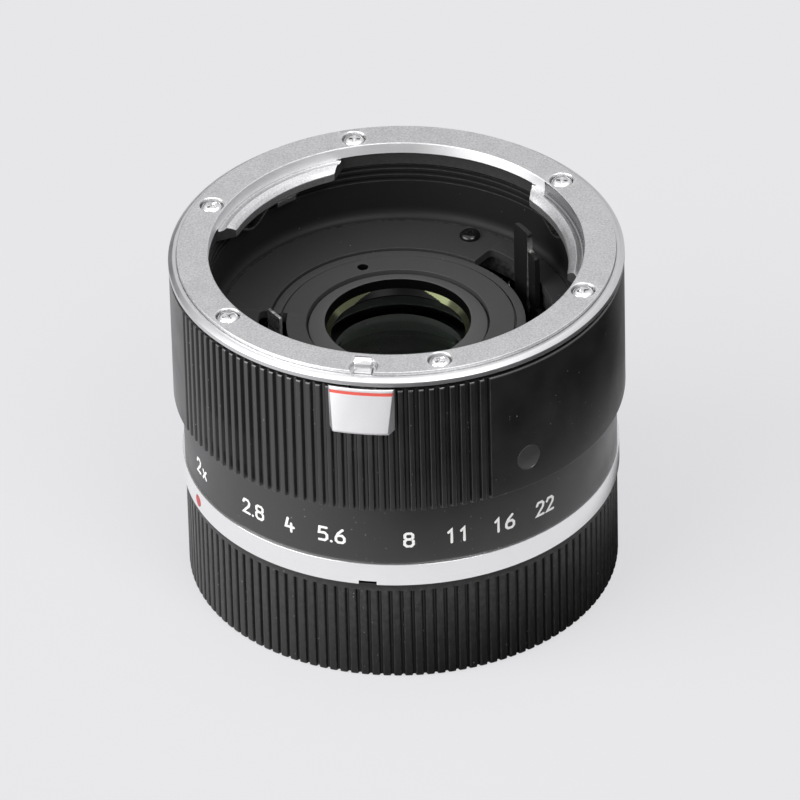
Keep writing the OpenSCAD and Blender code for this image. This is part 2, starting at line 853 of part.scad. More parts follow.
// Central tube that holds the lenses, with a flange up front
module lens_cell()
    color(black)
        difference() {
            turned([[stack_r, z_cell], [cell_r, z_cell], [cell_r, z_baffle],
                [cell_shoulder_r, z_baffle], [cell_shoulder_r, z_baffle + cell_shoulder_t],
                [cell_r, z_baffle + cell_shoulder_t], [cell_r, z_cell_flange],
                [cell_flange_r, z_cell_flange], [cell_flange_r, z_cell_rim],
                [cell_step_r, z_cell_rim], [cell_step_r - cell_step_up, z_cell_face],
                [hub_r + hub_moat, z_cell_face], [hub_r + hub_moat, z_hub_seat],
                [front_lens_r + fit, z_hub_seat], [front_lens_r + fit, z_seat_lip],
                [clear_r, z_seat_lip], [clear_r, z_stack], [stack_r, z_stack]]);
            for (turn = [0, 180])
                upright(spanner_a + turn, spanner_at_r, spanner_r, z_cell_face - spanner_deep,
                    z_cell_face + overrun);
            arc_block(finger_slot_a0, finger_slot_a1, finger_slot_in, cell_flange_r + overrun,
                z_cell_flange - overrun, z_cell_face + overrun);
        }

// Coned ring that holds the front element
module front_retaining_ring()
    color(black)
        turned([[hub_inner_r, z_hub], [front_lens_r, z_hub], [front_lens_r, z_hub_seat],
            [hub_r, z_hub_seat], [hub_r, z_floor - hub_edge_down], [hub_open_r, z_floor + hub_crown_up],
            [hub_open_r - hub_step, z_floor - hub_step_down],
            [hub_inner_r, z_floor - hub_step_down - hub_step]]);

module front_element() lens(front_lens_r, z_seat_lip, front_t, front_faces);
module second_element() lens(lens_r, z_second, second_t, second_faces);
module doublet_front() lens(lens_r, z_crown, crown_t, [crown_face, -cement_face]);
module doublet_rear() lens(lens_r, z_flint, flint_t - cement, [cement_face, flint_face]);
module fifth_element() lens(lens_r, z_fifth, fifth_t, fifth_faces);
module rear_element() lens(lens_r, z_rear_lens, rear_t, rear_faces);

module front_spacer() stack_ring(z_front_gap, z_second);
module middle_spacer() stack_ring(z_middle_gap, z_flint);
module rear_spacer() stack_ring(z_rear_gap, z_fifth);

// Threaded ring behind the rear element, with two spanner notches
module rear_retaining_ring()
    difference() {
        stack_ring(z_rear_ring, z_rear_lens);
        for (turn = [0, 180])
            radial_box(spanner_a + turn, notch_w, clear_r - overrun, lens_r + overrun,
                z_rear_ring - overrun, z_rear_ring + notch_deep);
    }

// Nut ring that clamps the lens cell to the rear baffle
module cell_lock_ring()
    color(black)
        difference() {
            ring(cell_r + fit, cell_r + lock_ring_w, z_rear_top - lock_ring_t, z_rear_top);
            for (turn = [0:90:270])
                radial_box(spanner_a + turn, notch_w, cell_r + lock_ring_w / 2,
                    cell_r + lock_ring_w + overrun, z_rear_top - lock_ring_t - overrun,
                    z_rear_top - lock_ring_t + notch_deep);
        }

// Plate across the rear throat that carries the lens cell
module rear_baffle()
    color(black)
        difference() {
            ring(cell_r + fit, baffle_r, z_rear_top, z_baffle);
            arc_block(rear_lever_a0 - lever_turn - slot_margin, rear_lever_a1 + slot_margin,
                lever_r - 2 * slide_gap, lever_out + 2 * slide_gap, z_rear_top - overrun,
                z_baffle + overrun);
            arc_block(cam_a0 - slot_margin, cam_a1 + finger_turn + slot_margin,
                lever_r - 2 * slide_gap, lever_out + 2 * slide_gap, z_rear_top - overrun,
                z_baffle + overrun);
            for (a = baffle_screw_angles)
                upright(a, baffle_screw_at, small_hole_r, z_rear_top - overrun, z_baffle + overrun);
        }

// Screws of the rear baffle
module rear_baffle_screws()
    color(dark)
        for (a = baffle_screw_angles)
            at(a)
                translate([0, -baffle_screw_at, z_baffle])
                    cross_screw(baffle_head_r, baffle_head_h, small_thread_r - fit / 2, baffle_screw_l);

// Bright male bayonet: flange, spigot and three lugs
module rear_bayonet()
    color(silver)
        difference() {
            union() {
                at(between_lugs)
                    turned([[mount_bore_r, z_nose], [nose_r, z_nose], [nose_r, z_rear_lug],
                        [spigot_r, z_rear_lug], [spigot_r, z_rear], [rear_flange_r, z_rear],
                        [rear_flange_r, z_rear_top - rear_edge],
                        [rear_flange_r - rear_edge, z_rear_top], [mount_bore_r, z_rear_top]]);
                for (a = lug_angles)
                    arc_block(a - rear_lug_span / 2, a + rear_lug_span / 2, spigot_r - join,
                        rear_lug_r, z_rear_lug, z_rear_lug_top);
            }
            for (a = screw_angles) {
                upright(a, rear_screw_r, screw_hole_r, z_rear, z_rear_top + overrun);
                upright(a, rear_screw_r, head_r + head_gap, z_rear - overrun,
                    z_rear + head_h + head_gap);
            }
            for (a = baffle_screw_angles)
                upright(a, baffle_screw_at, small_thread_r, z_baffle - baffle_screw_l,
                    z_rear_top + overrun);
            radial_box(0, notch_slot_w, notch_pocket_out - join, rear_flange_r + overrun,
                z_rear - overrun, z_rear + notch_slot_h);
            radial_box(0, pin_w + 2 * slide_gap, notch_pocket_in, notch_pocket_out,
                z_rear - overrun, z_rear + notch_pocket_h);
            radial_rod(dot_a, z_dot, dot_r + fit / 2, rear_flange_r - dot_deep,
                rear_flange_r + overrun);
        }

// Screws of the rear bayonet, heads to the rear
module rear_bayonet_screws()
    color(silver)
        for (a = screw_angles)
            at(a)
                translate([0, -rear_screw_r, z_rear + head_h + head_gap])
                    rotate([180, 0, a * rear_drive])
                        cross_screw(head_r, head_h, thread_r - fit / 2, screw_l);

// Red dot that marks the bayonet's start
module rear_index_dot()
    color(red)
        radial_rod(dot_a, z_dot, dot_r, rear_flange_r - dot_deep, rear_flange_r + dot_proud);

// Ring and arm of the stop-down lever
module stop_down_ring()
    color(dark)
        union() {
            ring(ring_in, ring_r, z_stop, z_stop + ring_t);
            arc_block(arm_a0, arm_a1, lever_out, ring_in + join, z_stop, z_stop + ring_t);
        }

// Lever that reaches up into the cup, with its lower shoulder
module stop_down_front_lever()
    color(dark)
        union() {
            arc_block(lever_a0, lever_a1, lever_r, lever_out, z_stop, z_floor + lever_up);
            arc_block(shoulder_a, lever_a0 + arc_join, lever_r, lever_out, z_stop + ring_t + slide_gap,
                z_floor + shoulder_up);
        }

// Lever that reaches down through the rear throat
module stop_down_rear_lever()
    color(dark)
        arc_block(rear_lever_a0, rear_lever_a1, lever_r, lever_out, z_tip, z_stop + ring_t);

// Return spring of the stop-down ring
module stop_down_spring()
    color(silver)
        laid_coil(arm_a1, stop_post_a - post_r / spring_at_r * 180 / PI, z_stop + ring_t / 2);

// Fixed ring between the two turning ones, with the follower spring's post
module ring_spacer()
    color(black)
        union() {
            ring(ring_in, ring_bore_r - fit / 2, z_spacer, z_spacer + spacer_t);
            arc_block(follow_post_a - ear_half, follow_post_a + ear_half, ear_in, ring_in + join,
                z_spacer, z_spacer + spacer_t);
            upright(follow_post_a, spring_at_r, post_r, z_follow + slide_gap, z_spacer + join);
        }

// Ring of the aperture follower, with its two arms
module follower_ring()
    color(dark)
        union() {
            ring(ring_in, ring_r, z_follow, z_follow + ring_t);
            radial_box(finger_a, finger_arm_w, finger_slot_in + slide_gap, ring_in + 2 * join,
                z_follow, z_follow + ring_t);
            arc_block(cam_a0, cam_a1, lever_out, ring_in + join, z_follow, z_follow + ring_t);
        }

// Finger that meets the lens's aperture cam
module follower_finger()
    color(dark)
        at(finger_a)
            translate([0, -finger_r, z_follow + ring_t])
                rotate([0, 0, finger_tilt])
                    translate([-finger_w / 2, -lever_t / 2, 0])
                        cube([finger_w, lever_t, z_floor + finger_up - z_follow - ring_t]);

// Stepped cam that hands the setting on to the camera
module follower_cam()
    color(dark)
        union() {
            arc_block(cam_a0, cam_step_a, lever_r, lever_out, z_tip, z_follow + ring_t);
            arc_block(cam_step_a - arc_join, cam_a1, lever_r, lever_out, z_tip + cam_step,
                z_follow + ring_t);
        }

// Return spring of the follower ring
module follower_spring()
    color(silver)
        laid_coil(follow_post_a + post_r / spring_at_r * 180 / PI,
            finger_a - finger_arm_w / 2 / spring_at_r * 180 / PI, z_follow + ring_t / 2);

// Threaded ring that keeps the lever rings in place, with spanner notches
module ring_retainer()
    color(black)
        difference() {
            ring(ring_in, ring_bore_r - fit / 2, z_retain, z_retain + spacer_t);
            for (turn = [0, 180])
                radial_box(spanner_a + turn, notch_w, ring_in - overrun, ring_bore_r + overrun,
                    z_retain - overrun, z_retain + notch_deep);
        }

// Wedge-shaped front of the release button
module button_face(shrink)
    intersection() {
        at(-button_reach - 90)
            rotate_extrude(angle = 2 * button_reach)
                polygon([[button_back, z_button],
                    [grip_r + button_proud - button_edge - shrink, z_button],
                    [grip_r + button_proud - shrink, z_button + button_edge],
                    [button_back + button_lip - shrink, z_button_top], [button_back, z_button_top]]);
        translate([0, -grip_r + 2 * overrun, 0])
            rotate([90, 0, 0])
                linear_extrude(4 * overrun + button_proud)
                    polygon([[-button_w / 2 + button_taper, z_button],
                        [button_w / 2 - button_taper, z_button],
                        [button_w / 2, z_button_top], [-button_w / 2, z_button_top]]);
    }

// Release button with its neck and the shank that enters the sleeve
module release_button()
    color(silver)
        difference() {
            union() {
                button_face(0);
                radial_box(0, neck_w, neck_in, button_back + button_lip / 2,
                    z_button_top - neck_h, z_flange - neck_gap);
                radial_box(0, shank_w, slide_r + slide_half, button_back + join,
                    z_shank, z_shank + shank_h);
            }
            line_cut();
        }

// Band of the button's face that the red line fills
module line_cut()
    difference() {
        ring(button_back + button_lip / 2, grip_r + button_proud + overrun, z_line, z_line + line_h);
        button_face(line_deep);
    }

// Red line across the button
module release_index_line()
    color(red)
        intersection() {
            button_face(0);
            line_cut();
        }

// Slide behind the button, with the flat lock pin on it
module lock_pin()
    color(silver)
        union() {
            radial_box(0, slide_w, slide_r - slide_half, slide_r + slide_half, z_block, z_block_top);
            radial_box(0, pin_w, slide_r - slide_half, slide_r + slide_half, z_block_top - join,
                z_face + pin_up - pin_t / 2);
            at(0)
                intersection() {
                    translate([-pin_w / 2, -slide_r, z_face + pin_up - pin_t / 2])
                        rotate([0, 90, 0])
                            cylinder(r = pin_t / 2, h = pin_w);
                    translate([-pin_w, -slide_r - pin_t, z_face + pin_up - pin_t / 2 - join])
                        cube([2 * pin_w, 2 * pin_t, pin_t]);
                }
        }

// Spring under the lock pin's slide
module release_spring()
    color(silver)
        translate([0, -slide_r, z_pocket + fit])
            coil(release_coil_r, spring_l - 2 * fit, release_turns);

// Ribbed cap over the rear bayonet, turned to where it pulls off
module rear_cap()
    color(dark)
        difference() {
            union() {
                turned([[0, 0], [cap_r - cap_edge, 0], [cap_r, cap_edge], [cap_r, z_rear],
                    [throat_r, z_rear], [throat_r, cap_lug_top], [cap_in, cap_lug_top],
                    [cap_in, cap_base_t], [0, cap_base_t]]);
                for (a = lug_angles)
                    arc_block(a + lug_turn - lug_span / 2, a + lug_turn + lug_span / 2, lug_r,
                        throat_r + join, cap_lug, cap_lug_top + join);
            }
            for (i = [0:cap_rib_count - 1])
                at(i * cap_rib_a)
                    translate([0, -cap_r, -overrun])
                        cylinder(r = cap_rib_depth, h = z_rear - cap_rim_h + overrun, $fn = 4);
        }

grip_sleeve();
inner_housing();
side_plug();
sleeve_set_screw();
front_bayonet_ring();
front_trim_ring();
front_flange_screws();
leaf_springs();
leaf_spring_screws();
light_trap_liner();
baffle_plate();
baffle_plate_screws();
lens_cell();
front_retaining_ring();
front_element();
second_element();
doublet_front();
doublet_rear();
fifth_element();
rear_element();
front_spacer();
middle_spacer();
rear_spacer();
rear_retaining_ring();
cell_lock_ring();
rear_baffle();
rear_baffle_screws();
rear_bayonet();
rear_bayonet_screws();
rear_index_dot();
stop_down_ring();
stop_down_front_lever();
stop_down_rear_lever();
stop_down_spring();
ring_spacer();
follower_ring();
follower_finger();
follower_cam();
follower_spring();
ring_retainer();
release_button();
release_index_line();
lock_pin();
release_spring();
rear_cap();
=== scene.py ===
import math
from contextlib import contextmanager

import bmesh
import bpy
from mathutils import Matrix, Vector


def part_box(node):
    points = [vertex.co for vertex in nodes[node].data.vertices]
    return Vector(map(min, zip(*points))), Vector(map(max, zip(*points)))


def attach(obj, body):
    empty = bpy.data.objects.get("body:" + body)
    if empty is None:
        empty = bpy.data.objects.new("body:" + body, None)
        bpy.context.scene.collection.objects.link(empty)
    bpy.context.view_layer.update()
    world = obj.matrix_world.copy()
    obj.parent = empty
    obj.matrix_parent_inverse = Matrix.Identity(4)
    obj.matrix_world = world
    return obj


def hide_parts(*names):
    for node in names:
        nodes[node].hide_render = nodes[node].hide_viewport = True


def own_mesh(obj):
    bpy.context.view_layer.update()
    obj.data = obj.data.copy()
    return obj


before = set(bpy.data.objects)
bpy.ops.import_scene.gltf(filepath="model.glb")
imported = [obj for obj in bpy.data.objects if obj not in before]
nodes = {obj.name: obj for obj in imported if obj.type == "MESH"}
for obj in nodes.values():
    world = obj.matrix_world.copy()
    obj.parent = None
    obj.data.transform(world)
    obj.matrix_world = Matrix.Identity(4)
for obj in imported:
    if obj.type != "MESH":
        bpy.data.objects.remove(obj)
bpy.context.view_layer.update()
scene = bpy.context.scene
mm = 0.001  # sizes below are in millimetres, angles in degrees from the release button
upright = Matrix.Rotation(math.radians(90), 4, "X")  # stands a flat outline up
print("frame loaded,", len(nodes), "nodes")


# ways to make and join meshes

def polar(r, a, z=0.0):
    t = math.radians(a)
    return r * math.sin(t), -r * math.cos(t), z


def turnTo(a):
    return Matrix.Rotation(math.radians(a), 4, "Z")


def shift(x, y, z):
    return Matrix.Translation((x * mm, y * mm, z * mm))


def facing(a, r, z):  # carries a piece made along Z to a radial line
    return turnTo(a) @ shift(0, -r, z) @ upright


def zoneOf(node):  # lowest z, highest z and widest radius of a CAD node
    low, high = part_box(node)
    return low.z / mm, high.z / mm, max(-low.x, high.x, -low.y, high.y) / mm


@contextmanager
def editing(mesh):
    work = bmesh.new()
    work.from_mesh(mesh)
    yield work
    work.to_mesh(mesh)
    work.free()


def addPiece(name, mesh):
    piece = bpy.data.objects.new(name, mesh)
    scene.collection.objects.link(piece)
    return piece


def makePiece(name, points, faces):
    mesh = bpy.data.meshes.new(name)
    mesh.from_pydata([Vector(p) * mm for p in points], [], faces)
    with editing(mesh) as work:
        bmesh.ops.remove_doubles(work, verts=work.verts, dist=1e-7)
        bmesh.ops.recalc_face_normals(work, faces=work.faces)
    return addPiece(name, mesh)


def soften(loop, steps=4):  # a third number on a corner rounds it by that much
    out = []
    for i, corner in enumerate(loop):
        here = Vector(corner[:2])
        if len(corner) == 2:
            out.append(here)
            continue
        before = Vector(loop[i - 1][:2]) - here
        after = Vector(loop[(i + 1) % len(loop)][:2]) - here
        start = here + before.normalized() * min(corner[2], 0.48 * before.length)
        end = here + after.normalized() * min(corner[2], 0.48 * after.length)
        for k in range(steps + 1):
            t = k / steps
            out.append((1 - t) ** 2 * start + 2 * t * (1 - t) * here + t * t * end)
    return out


def sweep(name, sections, closed=False):  # skin over sections of equal size, capped at both ends or closed
    count, size = len(sections), len(sections[0])
    faces = []
    for i in range(count if closed else count - 1):
        j = (i + 1) % count
        for k in range(size):
            n = (k + 1) % size
            faces.append((i * size + k, j * size + k, j * size + n, i * size + n))
    if not closed:
        faces.append(list(range(size)))
        faces.append(list(range((count - 1) * size, count * size))[::-1])
    return makePiece(name, [p for section in sections for p in section], faces)


def spin(name, loop, angles=None, steps=360, shape=None):  # closed outline turned once round Z
    loop = soften(loop)
    angles = angles or [360 * i / steps for i in range(steps)]
    sections = [[polar(shape(r, z, a) if shape else r, a, z) for r, z in loop] for a in angles]
    return sweep(name, sections, closed=True)


def rod(r, low, top, chamfer=None, steps=48):  # also the tool for a hole, with its chamfer's depth and reach
    if not chamfer:
        return spin("rod", [(0, low), (r, low), (r, top), (0, top)], steps=steps)
    deep, wide = chamfer
    clear = top + 0.2
    return spin("rod", [(0, low), (r, low), (r, top - deep), (r + wide, clear), (0, clear)], steps=steps)


def disc(name, look, onto, steps):  # flush round piece in the side of the barrel
    d, r = look, look["r"]
    piece = spin(name, [(0, -d["deep"]), (r, -d["deep"]), (r, d["edge"], d["round"]), (0, d["proud"])],
                 steps=steps)
    return place(piece, facing(d["a"], onto, d["z"]))


def plate(name, outline, low, high):  # flat outline in x and y, raised from low to high
    n = len(outline)
    points = [(x, y, z) for z in (low, high) for x, y in outline]
    faces = [list(range(n))[::-1], list(range(n, 2 * n))]
    faces += [(i, (i + 1) % n, n + (i + 1) % n, n + i) for i in range(n)]
    return makePiece(name, points, faces)


def block(name, width, out, inner, low, high):  # box between two radii, in line with the release button
    half = width / 2
    return plate(name, [(-half, -out), (half, -out), (half, -inner), (-half, -inner)], low, high)


def arcPlate(name, a0, a1, r0, r1, low, high, step=1.0):
    count = max(2, int((a1 - a0) / step))
    angles = [a0 + (a1 - a0) * i / count for i in range(count + 1)]
    outline = [polar(r1, a)[:2] for a in angles] + [polar(r0, a)[:2] for a in angles[::-1]]
    return plate(name, outline, low, high)


def roundEdges(piece, width, least=30):  # least: angle between two faces from which their edge is rounded
    with editing(piece.data) as work:
        edges = [e for e in work.edges
                 if len(e.link_faces) == 2 and e.calc_face_angle(0) > math.radians(least)]
        bmesh.ops.bevel(work, geom=edges, offset=width * mm, segments=2, profile=0.5,
                        affect="EDGES", clamp_overlap=True)
    return piece


def wrap(piece, r, a, step=0.5):  # bends a flat piece (x along the arc, y outwards) round the axis
    with editing(piece.data) as work:
        xs = [v.co.x for v in work.verts]
        start, run = min(xs), max(xs) - min(xs)
        cuts = int(run / (step * mm))
        for i in range(1, cuts + 1):
            parts = work.verts[:] + work.edges[:] + work.faces[:]
            spot = (start + run * i / (cuts + 1), 0, 0)
            bmesh.ops.bisect_plane(work, geom=parts, plane_co=spot, plane_no=(1, 0, 0))
        for v in work.verts:
            turn = math.degrees(v.co.x / mm / r)
            v.co = Vector(polar(r + v.co.y / mm, a + turn, v.co.z / mm)) * mm
        bmesh.ops.recalc_face_normals(work, faces=work.faces)
    return piece


def place(piece, matrix):
    piece.data.transform(matrix)
    return piece


def drop(*pieces):
    for piece in pieces:
        mesh = piece.data
        bpy.data.objects.remove(piece)
        bpy.data.meshes.remove(mesh)


def gather(name, pieces):  # several pieces become one object
    work = bmesh.new()
    for piece in pieces:
        work.from_mesh(piece.data)
    mesh = bpy.data.meshes.new(name)
    work.to_mesh(mesh)
    work.free()
    drop(*pieces)
    return addPiece(name, mesh)


def copies(name, piece, matrices):
    spare = [place(addPiece("copy", piece.data.copy()), matrix) for matrix in matrices]
    drop(piece)
    return gather(name, spare)


def combine(piece, others, how):
    for other in others:
        tool = piece.modifiers.new("combine", "BOOLEAN")
        tool.object = other
        tool.operation = how
        tool.solver = "EXACT"
    graph = bpy.context.evaluated_depsgraph_get()
    mesh = bpy.data.meshes.new_from_object(piece.evaluated_get(graph))
    piece.modifiers.clear()
    old = piece.data
    piece.data = mesh
    bpy.data.meshes.remove(old)
    drop(*others)
    with editing(mesh) as work:
        bmesh.ops.remove_doubles(work, verts=work.verts, dist=2e-7)
        bmesh.ops.dissolve_degenerate(work, edges=work.edges, dist=2e-7)
    return piece


def carve(piece, *cutters):
    return combine(piece, cutters, "DIFFERENCE")


def unite(piece, *others):
    return combine(piece, others, "UNION")


wornEdge = {"from": 9, "over": 16}  # degrees at which an outer edge starts to wear and take painted highlight, and on to full


def markEdges(mesh):  # how sharp each outer edge is, for the wear and painted edge highlight in the finishes
    work = bmesh.new()
    work.from_mesh(mesh)
    values = [0.0] * len(work.verts)
    for e in work.edges:
        if len(e.link_faces) == 2 and e.is_convex:
            sharp = (math.degrees(e.calc_face_angle(0)) - wornEdge["from"]) / wornEdge["over"]
            for v in e.verts:
                values[v.index] = max(values[v.index], min(1.0, sharp))
    work.free()
    mesh.attributes.new("edge", "FLOAT", "POINT").data.foreach_set("value", values)


def dress(piece, finish, body="converter", stands=(), sharp=35):
    mesh = piece.data
    zones = [face.material_index for face in mesh.polygons]
    mesh.materials.clear()
    for material in finish if isinstance(finish, list) else [finish]:
        mesh.materials.append(material)
    mesh.polygons.foreach_set("material_index", zones)
    mesh.polygons.foreach_set("use_smooth", [True] * len(mesh.polygons))
    mesh.set_sharp_from_angle(angle=math.radians(sharp))
    markEdges(mesh)
    piece.modifiers.new("normals", "WEIGHTED_NORMAL").keep_sharp = True
    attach(piece, body)
    if stands:
        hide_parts(*stands)
    return piece


# finishes: effects that several materials share come first, as node groups

def put(tree, kind, inputs=None, **settings):
    node = tree.nodes.new("ShaderNode" + kind)
    for key, value in settings.items():
        setattr(node, key, value)
    for key, value in (inputs or {}).items():
        if isinstance(value, bpy.types.NodeSocket):
            tree.links.new(value, node.inputs[key])
        else:
            node.inputs[key].default_value = value
    return node


def calc(tree, how, a, b):
    return put(tree, "Math", {0: a, 1: b}, operation=how).outputs[0]


def plus(tree, a, b):
    return calc(tree, "ADD", a, b)


def times(tree, a, b):
    return calc(tree, "MULTIPLY", a, b)


def mixColor(tree, mask, a, b):
    return put(tree, "Mix", {0: mask, 6: a, 7: b}, data_type="RGBA").outputs[2]


def stretch(tree, value, low, high, toLow, toHigh):
    inputs = {"Value": value, "From Min": low, "From Max": high, "To Min": toLow, "To Max": toHigh}
    return put(tree, "MapRange", inputs).outputs[0]


def onPiece(tree):
    return put(tree, "TexCoord").outputs["Object"]


def perMetre(tree, size):  # texture scale for a feature size in millimetres
    return calc(tree, "DIVIDE", 1000.0, size)


def noise(tree, where, size, detail, roughness=0.5):
    inputs = {"Vector": where, "Scale": perMetre(tree, size), "Detail": detail, "Roughness": roughness}
    return put(tree, "TexNoise", inputs).outputs[0]


def newGroup(name, inputs, output):
    tree = bpy.data.node_groups.new(name, "ShaderNodeTree")
    for label, value in inputs.items():
        socket = tree.interface.new_socket(label, in_out="INPUT", socket_type="NodeSocketFloat")
        socket.default_value = value
    tree.interface.new_socket(output, in_out="OUTPUT", socket_type="NodeSocketFloat")
    return tree, tree.nodes.new("NodeGroupInput").outputs, tree.nodes.new("NodeGroupOutput").inputs[output]


def fineGrainGroup():  # even grain of an anodised, blasted or moulded surface
    tree, given, out = newGroup("fineGrain", {"Size": 0.1, "Contrast": 1.0}, "Grain")
    grain = noise(tree, onPiece(tree), given["Size"], 2.5, 0.6)
    spread = times(tree, calc(tree, "SUBTRACT", grain, 0.5), given["Contrast"])
    tree.links.new(plus(tree, spread, 0.5), out)
    return tree


def dustSpecksGroup():  # few small specks, each of its own size
    tree, given, out = newGroup("dustSpecks", {"Spacing": 1.0, "Size": 0.1, "Share": 0.3}, "Mask")
    cells = put(tree, "TexVoronoi", {"Vector": onPiece(tree), "Scale": perMetre(tree, given["Spacing"])})
    split = put(tree, "SeparateColor", {0: cells.outputs["Color"]}).outputs
    reach = times(tree, calc(tree, "DIVIDE", given["Size"], given["Spacing"]), split[0])
    near = calc(tree, "LESS_THAN", cells.outputs["Distance"], reach)
    chosen = calc(tree, "LESS_THAN", split[1], given["Share"])
    tree.links.new(times(tree, near, chosen), out)
    return tree


def edgeWearAndHighlightGroup():  # rubbed outer edges with painted highlight on them, broken up by noise
    tree, given, out = newGroup("edgeWearAndHighlight", {"Amount": 0.5, "Size": 0.6}, "Mask")
    patches = stretch(tree, noise(tree, onPiece(tree), given["Size"], 3.0), 0.35, 0.65, 0.2, 1.0)
    edge = put(tree, "Attribute", attribute_name="edge").outputs["Fac"]
    tree.links.new(times(tree, times(tree, edge, patches), given["Amount"]), out)
    return tree


def turnedMarksGroup():  # fine rings left by a lathe
    tree, given, out = newGroup("turnedMarks", {"Pitch": 0.12}, "Rings")
    x, y, z = put(tree, "SeparateXYZ", {0: onPiece(tree)}).outputs
    r = calc(tree, "POWER", plus(tree, times(tree, x, x), times(tree, y, y)), 0.5)
    ring = put(tree, "CombineXYZ", {0: r, 1: z}).outputs[0]
    tree.links.new(noise(tree, ring, given["Pitch"], 2.0), out)
    return tree


fineGrain = fineGrainGroup()
dustSpecks = dustSpecksGroup()
edgeWearAndHighlight = edgeWearAndHighlightGroup()
turnedMarks = turnedMarksGroup()


def useGroup(tree, group, **inputs):
    node = tree.nodes.new("ShaderNodeGroup")
    node.node_tree = group
    for key, value in inputs.items():
        node.inputs[key].default_value = value
    return node.outputs[0]


def clearTree(owner):
    owner.use_nodes = True
    owner.node_tree.nodes.clear()
    return owner.node_tree


def newMaterial(name, settings):
    material = bpy.data.materials.new(name)
    tree = clearTree(material)
    shader = put(tree, "BsdfPrincipled", settings)
    put(tree, "OutputMaterial", {"Surface": shader.outputs[0]})
    return material, tree, shader


def emboss(tree, shader, height, depth):
    bump = put(tree, "Bump", {"Height": height, "Distance": depth * mm, "Strength": 1.0})
    tree.links.new(bump.outputs[0], shader.inputs["Normal"])


def cloudRoughness(tree, shader, look, cloud, wear, polish):  # cloudy, and smoother on the worn edges that also carry painted highlight
    spread = stretch(tree, cloud, 0.2, 0.8, -look["spread"], look["spread"])
    rough = plus(tree, spread, look["roughness"])
    tree.links.new(calc(tree, "SUBTRACT", rough, times(tree, wear, polish)), shader.inputs["Roughness"])


def tones(dark, light, blue=0.0):  # two neutral shades with a trace of blue
    return {"dark": (dark, dark, dark + blue, 1), "light": (light, light, light + blue, 1)}


blackBase = {"dark": (0.0018, 0.0018, 0.0019, 1), "light": (0.0046, 0.0046, 0.0048, 1), "specular": 1.0,
             "ior": 1.5, "tint": (1, 1, 1, 1), "worn": (0.08, 0.08, 0.08, 1), "dust": (0.3, 0.3, 0.29, 1),
             "roughness": 0.34, "spread": 0.05, "grainSize": 0.09, "cloudSize": 6.0, "dustSpacing": 0.7,
             "dustSize": 0.08, "dustShare": 0.35, "wear": 0.2, "metal": 0.0, "turned": 0.0, "bump": 0.005}
floorBase = {**blackBase, "roughness": 0.6, "specular": 0.3, "wear": 0.3, "turned": 0.1, "bump": 0.004,
             "dustShare": 0.08}


def blackFinish(name, base=blackBase, **changes):
    look = {**base, **changes}
    material, tree, shader = newMaterial(name, {
        "Specular IOR Level": look["specular"], "IOR": look["ior"], "Specular Tint": look["tint"],
        "Metallic": 0.0})
    grain = useGroup(tree, fineGrain, Size=look["grainSize"], Contrast=1.6)
    cloud = useGroup(tree, fineGrain, Size=look["cloudSize"], Contrast=1.2)
    dust = useGroup(tree, dustSpecks, Spacing=look["dustSpacing"], Size=look["dustSize"],
                    Share=look["dustShare"])
    wear = useGroup(tree, edgeWearAndHighlight, Amount=look["wear"], Size=0.7)
    color = mixColor(tree, grain, look["dark"], look["light"])
    color = mixColor(tree, wear, color, look["worn"])
    tree.links.new(mixColor(tree, dust, color, look["dust"]), shader.inputs["Base Color"])
    cloudRoughness(tree, shader, look, cloud, wear, 0.15)
    if look["metal"]:  # bare metal where the black is rubbed off
        tree.links.new(times(tree, wear, look["metal"]), shader.inputs["Metallic"])
    height = plus(tree, grain, times(tree, dust, 2.0))
    if look["turned"]:
        height = plus(tree, height, useGroup(tree, turnedMarks, Pitch=look["turned"]))
    emboss(tree, shader, height, look["bump"])
    return material


barrelBlack = blackFinish("barrelBlack", ior=1.55)
plugBlack = blackFinish("plugBlack", **tones(0.024, 0.034, 0.0003), wear=0.1)
# painted highlight: its strong edge wear lightens the ridges of the light trap
innerBlack = blackFinish("innerBlack", **tones(0.009, 0.017), roughness=0.5, specular=0.2, wear=0.7,
                         turned=0.14, bump=0.004, dustShare=0.08)
glossBlack = blackFinish("glossBlack", **tones(0.002, 0.004), roughness=0.3, specular=0.06, wear=0.05,
                         bump=0.002, dustShare=0.04)
floorBlack = blackFinish("floorBlack", floorBase, **tones(0.026, 0.042))
cellBlack = blackFinish("cellBlack", floorBase, **tones(0.038, 0.065))
coneBlack = blackFinish("coneBlack", floorBase, **tones(0.072, 0.11))
skirtBlack = blackFinish("skirtBlack", floorBase, **tones(0.02, 0.034))
blackScrew = blackFinish("blackScrew", roughness=0.22, specular=0.5, bump=0.002, dustShare=0.05)
capPlastic = blackFinish("capPlastic", dark=(0.004, 0.004, 0.0042, 1), light=(0.011, 0.011, 0.0113, 1),
                         roughness=0.42, specular=0.55, grainSize=0.16, wear=0.3, bump=0.01, dustShare=0.3)
# painted highlight: the light worn edges also stand for highlights along the lever's edges
leverMetal = blackFinish("leverMetal", **tones(0.009, 0.016), roughness=0.4, specular=0.15, wear=1.0,
                         worn=(0.65, 0.65, 0.64, 1), metal=0.9, bump=0.003, dustShare=0.1)
# painted reflection: olive glassy black for the sides of the hub's lip
paintedReflectionGlass = blackFinish("paintedReflectionGlass", dark=(0.02, 0.022, 0.012, 1), light=(0.03, 0.033, 0.02, 1),
                        tint=(0.85, 0.95, 0.5, 1), roughness=0.14, spread=0.02, wear=0.0, bump=0.001,
                        dustShare=0.02)

chromeBase = {**tones(0.62, 0.8, 0.005), "worn": (0.93, 0.93, 0.93, 1), "metallic": 1.0, "roughness": 0.34,
              "spread": 0.03, "grainSize": 0.2, "cloudSize": 4.0, "contrast": 1.0, "wear": 0.5, "turned": 0.1,
              "grainUp": 0.3, "ringsUp": 0.6, "bump": 0.003, "streak": 0.0}


